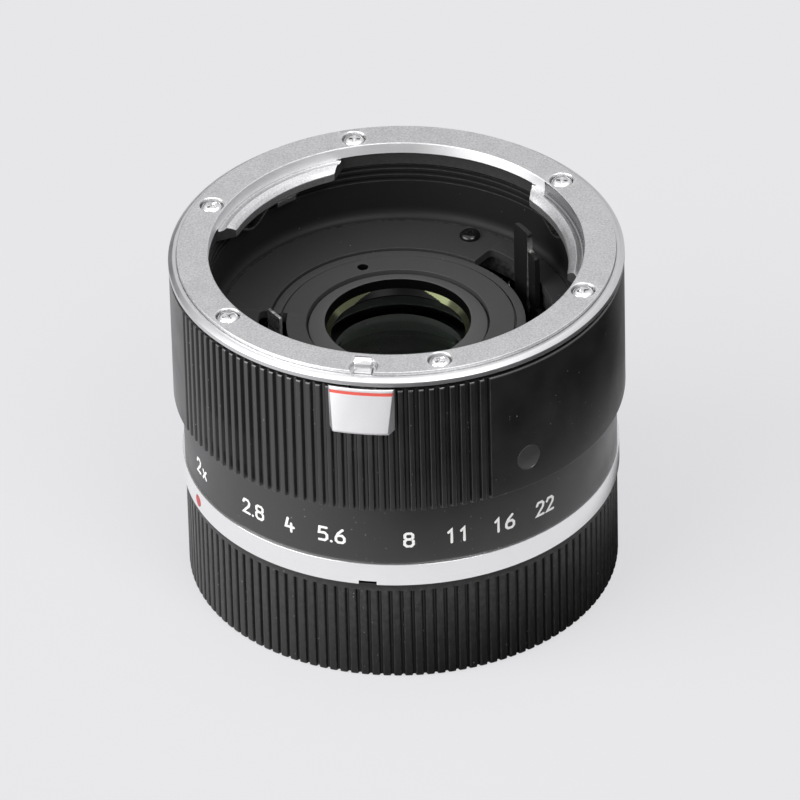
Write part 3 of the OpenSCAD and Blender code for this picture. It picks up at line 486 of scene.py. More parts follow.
def metalFinish(name, **changes):
    look = {**chromeBase, **changes}
    material, tree, shader = newMaterial(name, {"Metallic": look["metallic"]})
    grain = useGroup(tree, fineGrain, Size=look["grainSize"], Contrast=look["contrast"])
    cloud = useGroup(tree, fineGrain, Size=look["cloudSize"], Contrast=1.3)
    wear = useGroup(tree, edgeWearAndHighlight, Amount=look["wear"], Size=0.5)
    rings = useGroup(tree, turnedMarks, Pitch=look["turned"])
    shade = plus(tree, times(tree, grain, 0.8), times(tree, cloud, 0.2))
    color = mixColor(tree, shade, look["dark"], look["light"])
    tree.links.new(mixColor(tree, wear, color, look["worn"]), shader.inputs["Base Color"])
    cloudRoughness(tree, shader, look, cloud, wear, 0.1)
    height = plus(tree, times(tree, grain, look["grainUp"]), times(tree, rings, look["ringsUp"]))
    emboss(tree, shader, height, look["bump"])
    if look["streak"]:  # lathe marks spread the light across the turning direction
        shader.inputs["Anisotropic"].default_value = look["streak"]
        shader.inputs["Anisotropic Rotation"].default_value = 0.25
        tangent = put(tree, "Tangent", direction_type="RADIAL", axis="Z")
        tree.links.new(tangent.outputs[0], shader.inputs["Tangent"])
    return material


blastedChrome = metalFinish("blastedChrome", **tones(0.45, 0.8, 0.005), roughness=0.42, contrast=2.1,
                            grainSize=0.27, grainUp=1.0, ringsUp=0.0, bump=0.012, wear=0.4)
turnedChrome = metalFinish("turnedChrome", **tones(0.8, 0.93, 0.005), roughness=0.55, streak=0.75)
# painted shade: a darker chrome for the throat wall and groove behind the lug at the right
paintedShadeChrome = metalFinish("paintedShadeChrome", **tones(0.34, 0.46, 0.005), roughness=0.24)
trimChrome = metalFinish("trimChrome", **tones(0.56, 0.74, 0.005), roughness=0.38)
satinChrome = metalFinish("satinChrome", **tones(0.86, 0.93, 0.005), metallic=0.85, roughness=0.14, bump=0.001)
buttonChrome = metalFinish("buttonChrome", **tones(0.83, 0.91, 0.005), metallic=0.85)
brightScrew = metalFinish("brightScrew", **tones(0.8, 0.93), roughness=0.2, bump=0.002)
springSteel = metalFinish("springSteel", dark=(0.2, 0.21, 0.19, 1), light=(0.34, 0.36, 0.32, 1), roughness=0.28)

glassBase = {"ior": 1.05, "coating": (0.75, 0.9, 0.4, 1), "tint": (0.86, 0.93, 0.88, 1),
             "clear": (0.92, 0.96, 0.93, 1)}


def coatedGlassFinish(name, **changes):
    look = {**glassBase, **changes}
    material, tree, shader = newMaterial(name, {
        "Transmission Weight": 1.0, "IOR": look["ior"], "Roughness": 0.0, "Metallic": 0.0,
        "Specular Tint": look["coating"]})
    cloud = useGroup(tree, fineGrain, Size=3.0, Contrast=1.0)
    tree.links.new(mixColor(tree, cloud, look["tint"], look["clear"]), shader.inputs["Base Color"])
    return material


quietGlass = coatedGlassFinish("quietGlass")
frontGlass = coatedGlassFinish("frontGlass", ior=1.08, coating=(0.8, 0.85, 0.9, 1))
greenGlass = coatedGlassFinish("greenGlass", ior=1.15, coating=(0.75, 0.85, 0.6, 1))
roseGlass = coatedGlassFinish("roseGlass", ior=1.12, coating=(1.0, 0.1, 0.3, 1))


def enamelFinish(name, dark, light):
    material, tree, shader = newMaterial(name, {"Specular IOR Level": 0.5, "Metallic": 0.0})
    grain = useGroup(tree, fineGrain, Size=0.12, Contrast=1.4)
    tree.links.new(mixColor(tree, grain, dark, light), shader.inputs["Base Color"])
    tree.links.new(stretch(tree, grain, 0.0, 1.0, 0.3, 0.5), shader.inputs["Roughness"])
    emboss(tree, shader, grain, 0.004)
    return material


redEnamel = enamelFinish("redEnamel", (0.5, 0.045, 0.03, 1), (0.74, 0.12, 0.09, 1))
dotEnamel = enamelFinish("dotEnamel", (0.3, 0.02, 0.025, 1), (0.5, 0.05, 0.05, 1))
whiteFill = enamelFinish("whiteFill", (0.72, 0.72, 0.7, 1), (0.88, 0.88, 0.86, 1))
print("finishes made")


# outer sleeve: plain band below, grip with two ribbed zones above

sleeve = {"gripLow": 30.1, "gripR": 32.7, "gripBore": 31.1, "bandR": 31.4, "bandBore": 30.2, "seat": 31.5,
          "topEdge": 0.35, "lowEdge": 0.25, "bandEdge": 0.12, "ribStart": -59.5, "ribPitch": 2.61,
          "ribCount": 36, "zones": (0, 180), "slotWidth": 4.2, "slotLow": 44.05}
ribGroove = [(0.0, 0.52), (0.18, 0.52), (0.22, 0.48), (0.39, 0.1), (0.42, 0.04), (0.47, 0.01),
             (0.53, 0.0)]  # distance from the middle of a groove, and depth there
plug = {"a": 43.3, "z": 35.2, "r": 1.95, "deep": 1.6, "edge": -0.02, "round": 0.06, "proud": 0.03, "gap": 0.03,
        "bore": 3, "chamfer": (0.05, 0.25), "rows": 21, "rowStep": 0.28, "steps": 96}


def grooveDepths(cut, middles, r):  # depth at each angle, in fine steps across every groove
    depthAt = dict(cut)
    sides = sorted({side * u for u in depthAt for side in (-1, 1)})
    return {middle + math.degrees(u / r): depthAt[abs(u)] for middle in middles for u in sides}


def sleeveDepths():  # grooves in two zones, wider steps on the smooth parts
    depths = {}
    for zone in sleeve["zones"]:
        start = sleeve["ribStart"] + zone
        middles = [start + i * sleeve["ribPitch"] for i in range(sleeve["ribCount"])]
        depths.update(grooveDepths(ribGroove, middles, sleeve["gripR"]))
        a = start + sleeve["ribCount"] * sleeve["ribPitch"]
        while a < start + 179:
            depths[a] = 0.0
            a += 0.5 if abs(a - plug["a"]) < 6 else 1.0
    return depths


def makeSleeve():
    s = sleeve
    low, high, r = zoneOf("grip_sleeve")
    depths = sleeveDepths()
    first = plug["z"] + plug["rowStep"] * (plug["rows"] // 2)
    rows = [(r, first - plug["rowStep"] * i) for i in range(plug["rows"])]  # even curve around the plug
    loop = [(s["gripBore"], high), (r, high, s["topEdge"]), *rows, (r, s["gripLow"], s["lowEdge"]),
            (s["bandR"], s["gripLow"]), (s["bandR"], low, s["bandEdge"]), (s["bandBore"], low),
            (s["bandBore"], s["seat"]), (s["gripBore"], s["seat"])]
    shell = spin("gripSleeve", loop, list(depths), shape=lambda rr, z, a: min(rr, r - depths[a]))
    slot = block("slot", s["slotWidth"], r + 2, s["gripBore"] - 1, s["slotLow"], high + 2)
    hole = rod(plug["r"] + plug["gap"], -plug["bore"], 0, plug["chamfer"], plug["steps"])
    return carve(shell, slot, place(hole, facing(plug["a"], r, plug["z"])))


dress(makeSleeve(), barrelBlack, stands=["grip_sleeve"])
dress(disc("sidePlug", plug, sleeve["gripR"], plug["steps"]), plugBlack, stands=["side_plug"])
print("sleeve made")


# plain white marks on the band: a magnification and a row of generic numbers

marks = {"width": 1.25, "pointWidth": 0.1, "stroke": 0.4, "z": 23.1, "sunk": 0.12, "proud": 0.025, "gap": 0.62,
         "rows": [(-57.0, "2x"), (-33.5, "2.8"), (-21.5, "4"), (-9.5, "5.6"), (11.0, "8"), (24.0, "11"),
                  (37.0, "16"), (50.0, "22")]}
strokes = {
    "1": [[(0.15, 1.75), (0.6, 2.2), (0.6, 0)]],
    "2": [[(0.05, 1.75), (0.3, 2.2), (0.95, 2.2), (1.25, 1.85), (1.15, 1.3), (0.05, 0), (1.25, 0)]],
    "4": [[(0.35, 2.2), (0, 0.75), (1.3, 0.75)], [(0.88, 1.35), (0.88, 0)]],
    "5": [[(1.2, 2.2), (0.15, 2.2), (0.05, 1.25), (0.9, 1.3), (1.25, 0.95), (1.25, 0.35), (0.9, 0), (0.05, 0)]],
    "6": [[(1.0, 2.2), (0.35, 1.55), (0.0, 0.8), (0.0, 0.3), (0.3, 0), (0.6, 0)],
          [(0.6, 0), (0.95, 0), (1.25, 0.3), (1.25, 0.85), (0.95, 1.2), (0.3, 1.2), (0.15, 1.05)]],
    "8": [[(0.62, 2.2), (0.3, 2.2), (0.05, 1.95), (0.05, 1.5), (0.3, 1.22), (0.62, 1.2)],
          [(0.62, 2.2), (0.95, 2.2), (1.2, 1.95), (1.2, 1.5), (0.95, 1.22), (0.62, 1.2)],
          [(0.62, 1.2), (0.3, 1.18), (0, 0.9), (0, 0.3), (0.3, 0), (0.62, 0)],
          [(0.62, 1.2), (0.95, 1.18), (1.25, 0.9), (1.25, 0.3), (0.95, 0), (0.62, 0)]],
    "x": [[(0.3, 0), (1.25, 1.3)], [(0.3, 1.3), (1.25, 0)]],
    ".": [[(0, 0), (0.02, 0)]],
}


def strokePlate(path, width, low, high):  # a rounded line with a little thickness, x across and z up
    line = [Vector(p) for p in path]
    left, right = [], []
    for i, p in enumerate(line):
        into = (p - line[i - 1]).normalized() if i else (line[1] - p).normalized()
        out = (line[i + 1] - p).normalized() if i < len(line) - 1 else into
        side = Vector((-into.y - out.y, into.x + out.x)).normalized()
        reach = width / 2 / max(0.5, side.dot(Vector((-into.y, into.x))))
        left.append(p + side * reach)
        right.append(p - side * reach)

    def roundEnd(middle, ahead):
        start = math.atan2(ahead.y, ahead.x) + math.pi / 2
        turns = [start - math.pi * k / 8 for k in range(1, 8)]
        return [middle + Vector((math.cos(t), math.sin(t))) * width / 2 for t in turns]

    outline = left + roundEnd(line[-1], line[-1] - line[-2])
    outline += right[::-1] + roundEnd(line[0], line[0] - line[1])
    return place(plate("stroke", outline, low, high), upright @ Matrix.Scale(-1, 4, (0, 0, 1)))


def makeMarks():
    signs = []
    for a, word in marks["rows"]:
        wide = [marks["pointWidth"] if c == "." else marks["width"] for c in word]
        x = -(sum(wide) + marks["gap"] * (len(word) - 1)) / 2
        for c, w in zip(word, wide):
            parts = [strokePlate(path, marks["stroke"], -marks["sunk"], marks["proud"]) for path in strokes[c]]
            sign = unite(*parts) if len(parts) > 1 else parts[0]
            place(sign, shift(x, 0, marks["z"]))
            signs.append(wrap(sign, sleeve["bandR"], a))
            x += w + marks["gap"]
    return gather("bandMarks", signs)


dress(makeMarks(), whiteFill)
print("marks made")


# inner tube: its top edge is the dark groove under the bright rim

housing = {"bore": 27.8, "bandOut": 30.15, "gripOut": 31.05, "seat": 31.55, "gripTop": 51.0, "grooveR": 31.9,
           "cup": 28.0, "shelfTop": 39.4, "shelfR": 22.7, "shelf": 36.8, "slotWidth": 4.2, "slotIn": 29.25,
           "pocket": 36.0, "postA": 187, "postAt": 23.4, "postR": 0.5, "postLow": 34.6}


def makeHousing():
    h = housing
    low, high, r = zoneOf("inner_housing")
    tube = spin("innerHousing", [
        (h["bore"], low), (h["bandOut"], low), (h["bandOut"], h["seat"]), (h["gripOut"], h["seat"]),
        (h["gripOut"], h["gripTop"]), (h["grooveR"], h["gripTop"]), (h["grooveR"], high), (h["cup"], high),
        (h["cup"], h["shelfTop"]), (h["shelfR"], h["shelfTop"]), (h["shelfR"], h["shelf"]),
        (h["bore"], h["shelf"])], steps=240)
    carve(tube, block("slot", h["slotWidth"], r + 2, h["slotIn"], h["pocket"], high + 2))
    post = rod(h["postR"], h["postLow"], h["shelf"], steps=32)  # holds the end of a spring
    return gather("innerHousing", [tube, place(post, shift(*polar(h["postAt"], h["postA"])))])


dress(makeHousing(), innerBlack, stands=["inner_housing"])


# bright front flange with its three lugs, and the rim around it

flange = {"throat": 27.0, "throatEdge": 0.15, "faceR": 31.55, "edge": 0.12, "skirtIn": 27.15, "skirtOut": 27.95,
          "skirtLow": 49.7, "low": 51.7, "footR": 30.85, "foot": 52.3,
          "screwAngles": (21, 75, 133.5, 201, 255, 313.5), "screwR": 29.1, "bore": 1.75, "boreLow": 52.35,
          "boreChamfer": (0.1, 0.3), "lockAt": 30.3, "lockR": 2.03, "lockSeat": 52.62,
          "lockChamfer": (0.12, 0.32)}
pin = {"width": 2.5, "thick": 1.6, "r": 30.15, "gap": 0.1, "edge": 0.1, "slideWidth": 3.9,
       "slide": (43.0, 50.9)}
lug = {"angles": (-6, 114, 234), "span": 56, "steps": 40, "slant": 4.3, "r": 24.7, "low": 49.6, "top": 51.65,
       "slope": 0.36, "bevel": 0.5, "groove": 0.42, "ridge": 1.15, "cove": 0.35, "endBevel": 0.1,
       "paintedShadeFrom": 0.5, "paintedShadeTo": 6}
rim = {"footR": 30.9, "seam": 0.06, "land": 0.55, "bevel": 0.44}


def makeLug(a):
    g, wall = lug, flange["throat"]
    low, top, r = g["low"], g["top"], g["r"]
    loop = soften([
        (r, low, 0.08), (wall + 0.25, low), (wall + 0.25, top + 0.1), (wall - 0.02, top + 0.1),
        (wall - 0.02, top - g["groove"], g["cove"]), (wall - 0.6, top - g["groove"] + 0.02, 0.2),
        (r + g["ridge"], top, 0.08), (r + g["bevel"], top - g["slope"], 0.12),
        (r, top - g["slope"] - g["bevel"], 0.12)])
    middle = sum(loop, Vector((0, 0))) / len(loop)
    sections = []
    for i in range(g["steps"] + 1):
        atEnd = i in (0, g["steps"])
        section = []
        for p in loop:
            spot = p + (middle - p).normalized() * g["endBevel"] if atEnd else p
            half = g["span"] / 2 - g["slant"] * (wall - spot.x) / (wall - r)
            if not atEnd:
                half -= math.degrees(g["endBevel"] / wall)
            section.append(polar(spot.x, a + (2 * i / g["steps"] - 1) * half, spot.y))
        sections.append(section)
    return sweep("lug", sections)


def lockHole():  # round seat, and a close slot through it for the pin
    top = zoneOf("front_bayonet_ring")[1]
    seat = rod(flange["lockR"], flange["lockSeat"], top, flange["lockChamfer"], 72)
    half = pin["thick"] / 2 + pin["gap"]
    slot = block("lockSlot", pin["width"] + 2 * pin["gap"], pin["r"] + half, pin["r"] - half, 50, top + 1)
    return [place(seat, shift(*polar(flange["lockAt"], 0))), slot]


def inPaintedShade(x, y):  # painted shade: behind the lug at the right, the wall and the groove get a darker chrome
    turn = math.degrees(math.atan2(x, -y)) - lug["angles"][1]
    return -lug["span"] / 2 + lug["paintedShadeFrom"] < turn < lug["span"] / 2 - lug["paintedShadeTo"]


def makeFlange():
    f = flange
    top = zoneOf("front_bayonet_ring")[1]
    ring = spin("frontFlange", [
        (f["skirtIn"], f["skirtLow"]), (f["skirtOut"], f["skirtLow"]), (f["skirtOut"], f["low"]),
        (f["footR"], f["low"]), (f["footR"], f["foot"]), (f["faceR"], f["foot"]), (f["faceR"], top, f["edge"]),
        (f["throat"], top, f["throatEdge"]), (f["throat"], lug["top"], 0.06), (f["skirtIn"], lug["top"])])
    cutters = lockHole()
    for a in f["screwAngles"]:
        bore = rod(f["bore"], f["boreLow"], top, f["boreChamfer"], 72)
        cutters.append(place(bore, shift(*polar(f["screwR"], a))))
    unite(ring, *[makeLug(a) for a in lug["angles"]])
    carve(ring, *cutters)
    skirtZone, wallZone, endZone, paintedShadeZone = 1, 2, 3, 4  # the skirt is blackened, the ends of the lugs are darker, and the wall behind the right lug gets painted shade
    for face in ring.data.polygons:
        x, y, z = face.center / mm
        away = math.hypot(x, y)
        if z < f["low"] - 0.03 and away > f["skirtIn"] - 0.05:
            face.material_index = skirtZone
        elif z > lug["top"] - 0.1 and abs(away - f["throat"]) < 0.03 and abs(face.normal.z) < 0.3:
            face.material_index = paintedShadeZone if inPaintedShade(x, y) else wallZone
        elif lug["top"] - 0.5 < z < lug["top"] + 0.15 and f["throat"] - 0.6 < away and inPaintedShade(x, y):
            face.material_index = paintedShadeZone
        elif z < lug["top"] and abs(face.normal.x * y - face.normal.y * x) > 0.6 * away:
            face.material_index = endZone
    return ring


def makeRim():
    low, high, r = zoneOf("front_trim_ring")
    inner = flange["faceR"] + rim["seam"]
    ring = spin("frontTrimRing", [
        (rim["footR"], low), (r, low, 0.05), (r, high - rim["bevel"], 0.08), (inner + rim["land"], high, 0.1),
        (inner, high, 0.05), (inner, flange["foot"]), (rim["footR"], flange["foot"])])
    return carve(ring, *lockHole())


dress(makeFlange(), [blastedChrome, skirtBlack, turnedChrome, floorBlack, paintedShadeChrome],
      stands=["front_bayonet_ring"])
dress(makeRim(), trimChrome, stands=["front_trim_ring"])
print("flange made")


# screws: domed heads with a cross recess

flangeCross = {"width": 0.44, "length": 2.0, "deep": 0.7}
smallCross = {"width": 0.28, "length": 1.4, "deep": 0.4}
tinyCross = {"width": 0.18, "length": 0.9, "deep": 0.3}
leafScrewTurn = -7.4  # from the middle of a lug
# node, head (radius, height, shank, length), cross, angles, ring radius, z, turn of the cross, facing down
screwSets = {
    "frontFlangeScrews": ("front_flange_screws", (1.64, 0.98, 0.8, 3.0), flangeCross, flange["screwAngles"],
                          flange["screwR"], 52.35, 1.7, False),
    "rearBayonetScrews": ("rear_bayonet_screws", (1.65, 0.95, 0.8, 3.0), flangeCross, flange["screwAngles"],
                          28.975, 17.45, 1.3, True),
    "bafflePlateScrews": ("baffle_plate_screws", (1.5, 0.75, 0.55, 3.0), smallCross, (42.6, 162.6, 282.6),
                          23.8, 40.6, 1.0, False),
    "leafSpringScrews": ("leaf_spring_screws", (0.75, 0.5, 0.4, 1.4), tinyCross,
                         [a + leafScrewTurn for a in lug["angles"]], 25.775, 48.35, 1.0, True),
    "rearBaffleScrews": ("rear_baffle_screws", (1.1, 0.7, 0.55, 3.0), tinyCross, (60, 180, 300),
                         24.0, 21.4, 1.0, False),
}


def makeScrew(r, height, shank, length, cross):
    head = spin("screw", [
        (0, -length), (shank, -length), (shank, 0), (r, 0, 0.05), (r, height / 2, height * 0.4),
        (r * 0.72, height, height * 0.4), (0, height)], steps=64)
    corners = ((-1, -1), (1, -1), (1, 1), (-1, 1))
    reach, wide = cross["length"] / 2, cross["width"]
    points = [(x * reach * 0.55, y * wide / 3, height - cross["deep"]) for x, y in corners]
    points += [(x * reach, y * wide / 2, height + 0.2) for x, y in corners]
    faces = [(3, 2, 1, 0), (4, 5, 6, 7), (0, 1, 5, 4), (1, 2, 6, 5), (2, 3, 7, 6), (3, 0, 4, 7)]
    return carve(head, *[place(makePiece("cross", points, faces), turnTo(turn)) for turn in (0, 90)])


def screwPlaces(angles, r, z, drive, flip):
    over = Matrix.Rotation(math.pi, 4, "X") if flip else Matrix()
    return [turnTo(a) @ shift(0, -r, z) @ over @ turnTo(a * drive) for a in angles]


for name, (node, head, cross, *spots) in screwSets.items():
    finish, slot = (brightScrew, "bright_screw") if cross is flangeCross else (blackScrew, "black_screw")
    dress(copies(name, makeScrew(*head, cross), screwPlaces(*spots)), finish, stands=[node])
print("screws made")


# bowed leaf springs under the lugs

leaf = {"in": 24.95, "width": 1.65, "thick": 0.35, "from": 2.6, "to": 18.2, "tail": 13, "tailSteps": 6,
        "end": 1, "bow": 1.6, "bowSteps": 20, "bowPower": 1.3, "top": 49.6, "footFrom": -9.6, "footTo": -1.4,
        "footTall": 1.25, "footEdge": 0.1}


def makeLeaf(a):
    f, steps = leaf, leaf["bowSteps"]
    r = f["in"] + f["width"] / 2
    path = [(f["from"] - f["tail"] + f["tail"] * i / f["tailSteps"], 0.0) for i in range(f["tailSteps"])]
    path += [(f["from"] + (f["to"] - f["from"]) * i / steps,
              f["bow"] * math.sin(math.pi * i / steps) ** f["bowPower"]) for i in range(steps + 1)]
    path.append((f["to"] + f["end"], 0.0))
    sections = []
    for i, (t, down) in enumerate(path):
        before, after = path[max(0, i - 1)], path[min(len(path) - 1, i + 1)]
        run = Vector((math.radians(after[0] - before[0]) * r, before[1] - after[1])).normalized()
        section = []
        for s, out in ((0, 0), (0, 1), (1, 1), (1, 0)):
            turn = math.degrees(run.y * f["thick"] * s / r)
            section.append(polar(f["in"] + f["width"] * out, a + t + turn,
                                 f["top"] - down - run.x * f["thick"] * s))
        sections.append(section)
    return sweep("leaf", sections)


def makeLeafFoot(a):  # block that the tail of the spring is screwed through
    f = leaf
    foot = arcPlate("foot", a + f["footFrom"], a + f["footTo"], f["in"], f["in"] + f["width"],
                    f["top"] - f["footTall"], f["top"] - f["thick"] - 0.001)
    return roundEdges(foot, f["footEdge"], 50)


leaves = [make(a) for a in lug["angles"] for make in (makeLeaf, makeLeafFoot)]
dress(gather("leafSprings", leaves), springSteel, stands=["leaf_springs"])


# cup: liner with light-trap ridges, floor plate with two slots

liner = {"out": 27.95, "r": 27.1, "top": 49.55, "ridge": 46.4, "pitch": 1.05, "deep": 0.4, "count": 3,
         "ridgeShape": ((0.98, 0, 0.05), (0.75, 1), (0.5, 1), (0.4, 0, 0.06)), "foot": 25.9,
         "fillet": (1.2, 1.8), "filletSteps": 8, "floor": 40.6}
floorPlate = {"hole": 18.67, "leverSlot": (85.5, 152.0, 22.55), "fingerSlot": (269.6, 326.6, 20.2),
              "corner": 0.9, "cornerSteps": 6, "flank": 0.02}


def makeLiner():
    n = liner
    low = zoneOf("light_trap_liner")[0]
    loop = [(n["foot"], low), (n["out"], low), (n["out"], n["top"])]
    for i in range(n["count"] - 1, -1, -1):
        z = n["ridge"] + i * n["pitch"]
        loop += [(n["r"] + n["deep"] * out, z + n["pitch"] * up, *edge) for up, out, *edge in n["ridgeShape"]]
    loop.append((n["r"], n["ridge"]))
    across, up = n["fillet"]
    for i in range(n["filletSteps"] + 1):
        t = math.radians(90 * i / n["filletSteps"])
        loop.append((n["foot"] + across * math.cos(t), n["floor"] + up * (1 - math.sin(t))))
    return spin("lightTrapLiner", loop)


def makeFloorPlate():
    f = floorPlate
    low, high, r = zoneOf("baffle_plate")
    slots = (f["leverSlot"], f["fingerSlot"])
    inner = {}  # radius of the inner edge at each angle
    for a0, a1, reach in slots:
        corner = math.degrees(f["corner"] / reach)
        near = [corner * k / f["cornerSteps"] for k in range(f["cornerSteps"] + 1)]
        inner[a0 - f["flank"]] = inner[a1 + f["flank"]] = f["hole"]
        for a in [a0 + c for c in near] + [a1 - c for c in near]:
            inside = min(a - a0, a1 - a) * math.radians(1) * reach
            back = max(0.0, f["corner"] - inside)
            inner[a] = reach - f["corner"] + math.sqrt(max(0.0, f["corner"] ** 2 - back ** 2))
        for a in range(int(a0 + corner) + 1, int(a1 - corner)):
            inner[float(a)] = reach
    for a in range(360):
        if not any(a0 - 0.5 < a < a1 + 0.5 for a0, a1, reach in slots):
            inner[float(a)] = f["hole"]
    return spin("bafflePlate", [(f["hole"], low), (r, low), (r, high, 0.06), (f["hole"], high, 0.1)],
                sorted(inner), shape=lambda rr, z, a: rr + inner[a] - f["hole"] if rr < f["hole"] + 1 else rr)


dress(makeLiner(), innerBlack, stands=["light_trap_liner"])
dress(makeFloorPlate(), floorBlack, stands=["baffle_plate"])
print("cup made")


# lens cell, the coned ring in front and the glass

cell = {"bore": 11.05, "r": 15.2, "shoulderR": 17.2, "shoulder": (21.4, 23.0), "flange": 38.8, "flangeR": 18.42,
        "rim": 40.3, "grooveOut": (17.11, 17.07), "grooveIn": (16.85, 16.81), "groove": 0.3, "face": 40.5,
        "moat": 13.24, "seat": 39.0, "lensR": 12.0, "lip": 34.0, "clear": 9.6, "stack": 33.0, "spannerA": 28.8,
        "spannerAt": 14.9, "spannerR": 0.75, "spannerDeep": 1.2, "spannerChamfer": (0.06, 0.25),
        "slot": (269.6, 326.6, 16.1)}
hub = {"low": 38.3, "lensR": 11.95, "seat": 39.0, "r": 12.94, "edge": 39.9, "openR": 10.58, "crown": 40.75,
       "stepR": 10.38, "step": 39.15, "lipR": 9.7, "lip": 38.45, "rows": 8, "turn": math.radians(9.6),
       "aside": (0.36, 0.3)}


def makeCell():
    c = cell
    low = zoneOf("lens_cell")[0]
    bed, holeLow = c["rim"] - c["groove"], c["face"] - c["spannerDeep"]
    tube = spin("lensCell", [
        (c["bore"], low), (c["r"], low, 0.2), (c["r"], c["shoulder"][0]), (c["shoulderR"], c["shoulder"][0]),
        (c["shoulderR"], c["shoulder"][1]), (c["r"], c["shoulder"][1]), (c["r"], c["flange"]),
        (c["flangeR"], c["flange"]), (c["flangeR"], c["rim"], 0.1), (c["grooveOut"][0], c["rim"]),
        (c["grooveOut"][1], bed), (c["grooveIn"][0], bed), (c["grooveIn"][1], c["face"], 0.06),
        (c["moat"], c["face"], 0.12), (c["moat"], c["seat"]), (c["lensR"], c["seat"]), (c["lensR"], c["lip"]),
        (c["clear"], c["lip"]), (c["clear"], c["stack"]), (c["bore"], c["stack"])])
    a0, a1, slotR = c["slot"]
    cutters = [arcPlate("slot", a0, a1, slotR, c["flangeR"] + 1, c["flange"] - 1, c["face"] + 1, 2.0)]
    holes = [polar(c["spannerAt"], c["spannerA"] + turn) for turn in (0, 180)]
    for spot in holes:
        cutters.append(place(rod(c["spannerR"], holeLow, c["face"], c["spannerChamfer"]), shift(*spot)))
    carve(tube, *cutters)
    for face in tube.data.polygons:  # painted shade: the spanner holes get the darker gloss black inside
        x, y, z = face.center / mm
        inside = any(math.hypot(x - hx, y - hy) < c["spannerR"] + 0.06 for hx, hy, hz in holes)
        face.material_index = int(inside and holeLow - 0.1 < z < c["face"] - 0.02)
    return tube


def makeHub():
    h = hub
    shares = [i / h["rows"] for i in range(h["rows"] + 1)]
    lipRows = [(h["stepR"] + (h["lipR"] - h["stepR"]) * s, h["step"] + (h["lip"] - h["step"]) * s)
               for s in shares]
    ring = spin("frontRetainingRing", [
        (h["lensR"], h["low"]), (h["lensR"], h["seat"]), (h["r"], h["seat"]), (h["r"], h["edge"], 0.12),
        (h["openR"], h["crown"], 0.12), *lipRows, (h["lipR"], h["low"])])
    for face in ring.data.polygons:  # the bore is darker than the face; painted reflection: an olive glassy finish on the two sides of its lip, as seen from the camera's side
        x, y, z = face.center / mm
        away = math.hypot(x, y)
        aside = abs(x * math.cos(h["turn"]) + y * math.sin(h["turn"])) / away
        share = (h["stepR"] - away) / (h["stepR"] - h["lipR"])
        onLip = 0.02 < share < 0.98 and face.normal.z > 0.3
        paintedReflection = onLip and aside > h["aside"][0] + h["aside"][1] * share
        face.material_index = 2 if paintedReflection else int(away < h["openR"] - 0.02)
    return ring


dress(makeCell(), [cellBlack, glossBlack], stands=["lens_cell"])
dress(makeHub(), [coneBlack, glossBlack, paintedReflectionGlass], stands=["front_retaining_ring"])

lenses = {  # node, glass, rim radius, lower seat, edge thickness and the radii of the upper and lower face
    "frontElement": ("front_element", frontGlass, 11.95, 34.0, 4.3, 38, -60),
    "secondElement": ("second_element", greenGlass, 11.0, 30.0, 3.0, -60, -45),
    "doubletFront": ("doublet_front", roseGlass, 11.0, 24.5, 2.0, 40, -36),
    "doubletRear": ("doublet_rear", quietGlass, 11.0, 22.0, 2.48, 36, 50),
    "fifthElement": ("fifth_element", quietGlass, 11.0, 17.5, 2.0, 45, 60),
    "rearElement": ("rear_element", quietGlass, 11.0, 13.6, 2.3, -40, 90),
}


def lensFace(radius, clear, steps=14):  # height over the flat seat from the axis outwards
    flat = math.sqrt(radius * radius - clear * clear)
    sign = 1 if radius > 0 else -1
    across = [clear * i / steps for i in range(steps + 1)]
    return [(x, sign * (math.sqrt(radius * radius - x * x) - flat)) for x in across]


def makeLens(name, r, z, edge, upper, lower):
    top = [(x, z + edge + y) for x, y in lensFace(upper, cell["clear"])]
    low = [(x, z - y) for x, y in lensFace(lower, cell["clear"])]
    return spin(name, low + [(r, z, 0.1), (r, z + edge, 0.1)] + top[::-1], steps=128)


for name, (node, glass, *sizes) in lenses.items():
    dress(makeLens(name, *sizes), glass, stands=[node], sharp=20)
print("glass made")


# levers that reach into the cup

lever = {"r": 21.35, "out": 22.15, "from": 126.6, "to": 136.6, "low": 34.6, "top": 48.4, "shoulderFrom": 120.5,
         "shoulderLow": 36.85, "shoulderTop": 45.5, "corner": 0.5, "edge": 0.07}
finger = {"r": 17.74, "a": 278.1, "tilt": 36.6, "width": 3.1, "thick": 0.5, "low": 32.9, "top": 42.15,
          "corner": 0.25, "edge": 0.1}


def makeLever():
    v = lever
    r, middle = (v["r"] + v["out"]) / 2, (v["from"] + v["to"]) / 2
    x0, x1, x2 = (math.radians(v[k] - middle) * r for k in ("shoulderFrom", "from", "to"))
    outline = soften([
        (x1, v["low"]), (x2, v["low"]), (x2, v["top"], v["corner"]), (x1, v["top"], v["corner"]),
        (x1, v["shoulderTop"]), (x0, v["shoulderTop"], v["corner"]), (x0, v["shoulderLow"]),
        (x1, v["shoulderLow"])])
    half = (v["out"] - v["r"]) / 2
    piece = roundEdges(plate("stopDownFrontLever", outline, -half, half), v["edge"])
    return wrap(place(piece, upright), r, middle, 0.8)


def makeFinger():
    f = finger
    half, thick = f["width"] / 2, f["thick"] / 2
    outline = soften([(-half, f["low"]), (half, f["low"]), (half, f["top"], f["corner"]),
                      (-half, f["top"], f["corner"])])
    piece = roundEdges(plate("followerFinger", outline, -thick, thick), f["edge"])
    return place(piece, turnTo(f["a"]) @ shift(0, -f["r"], 0) @ turnTo(f["tilt"]) @ upright)


dress(makeLever(), leverMetal, "stop_down", ["stop_down_front_lever"])
dress(makeFinger(), leverMetal, "follower", ["follower_finger"])
print("levers made")


# release button with its red line, the lock pin behind it and the spring under the pin

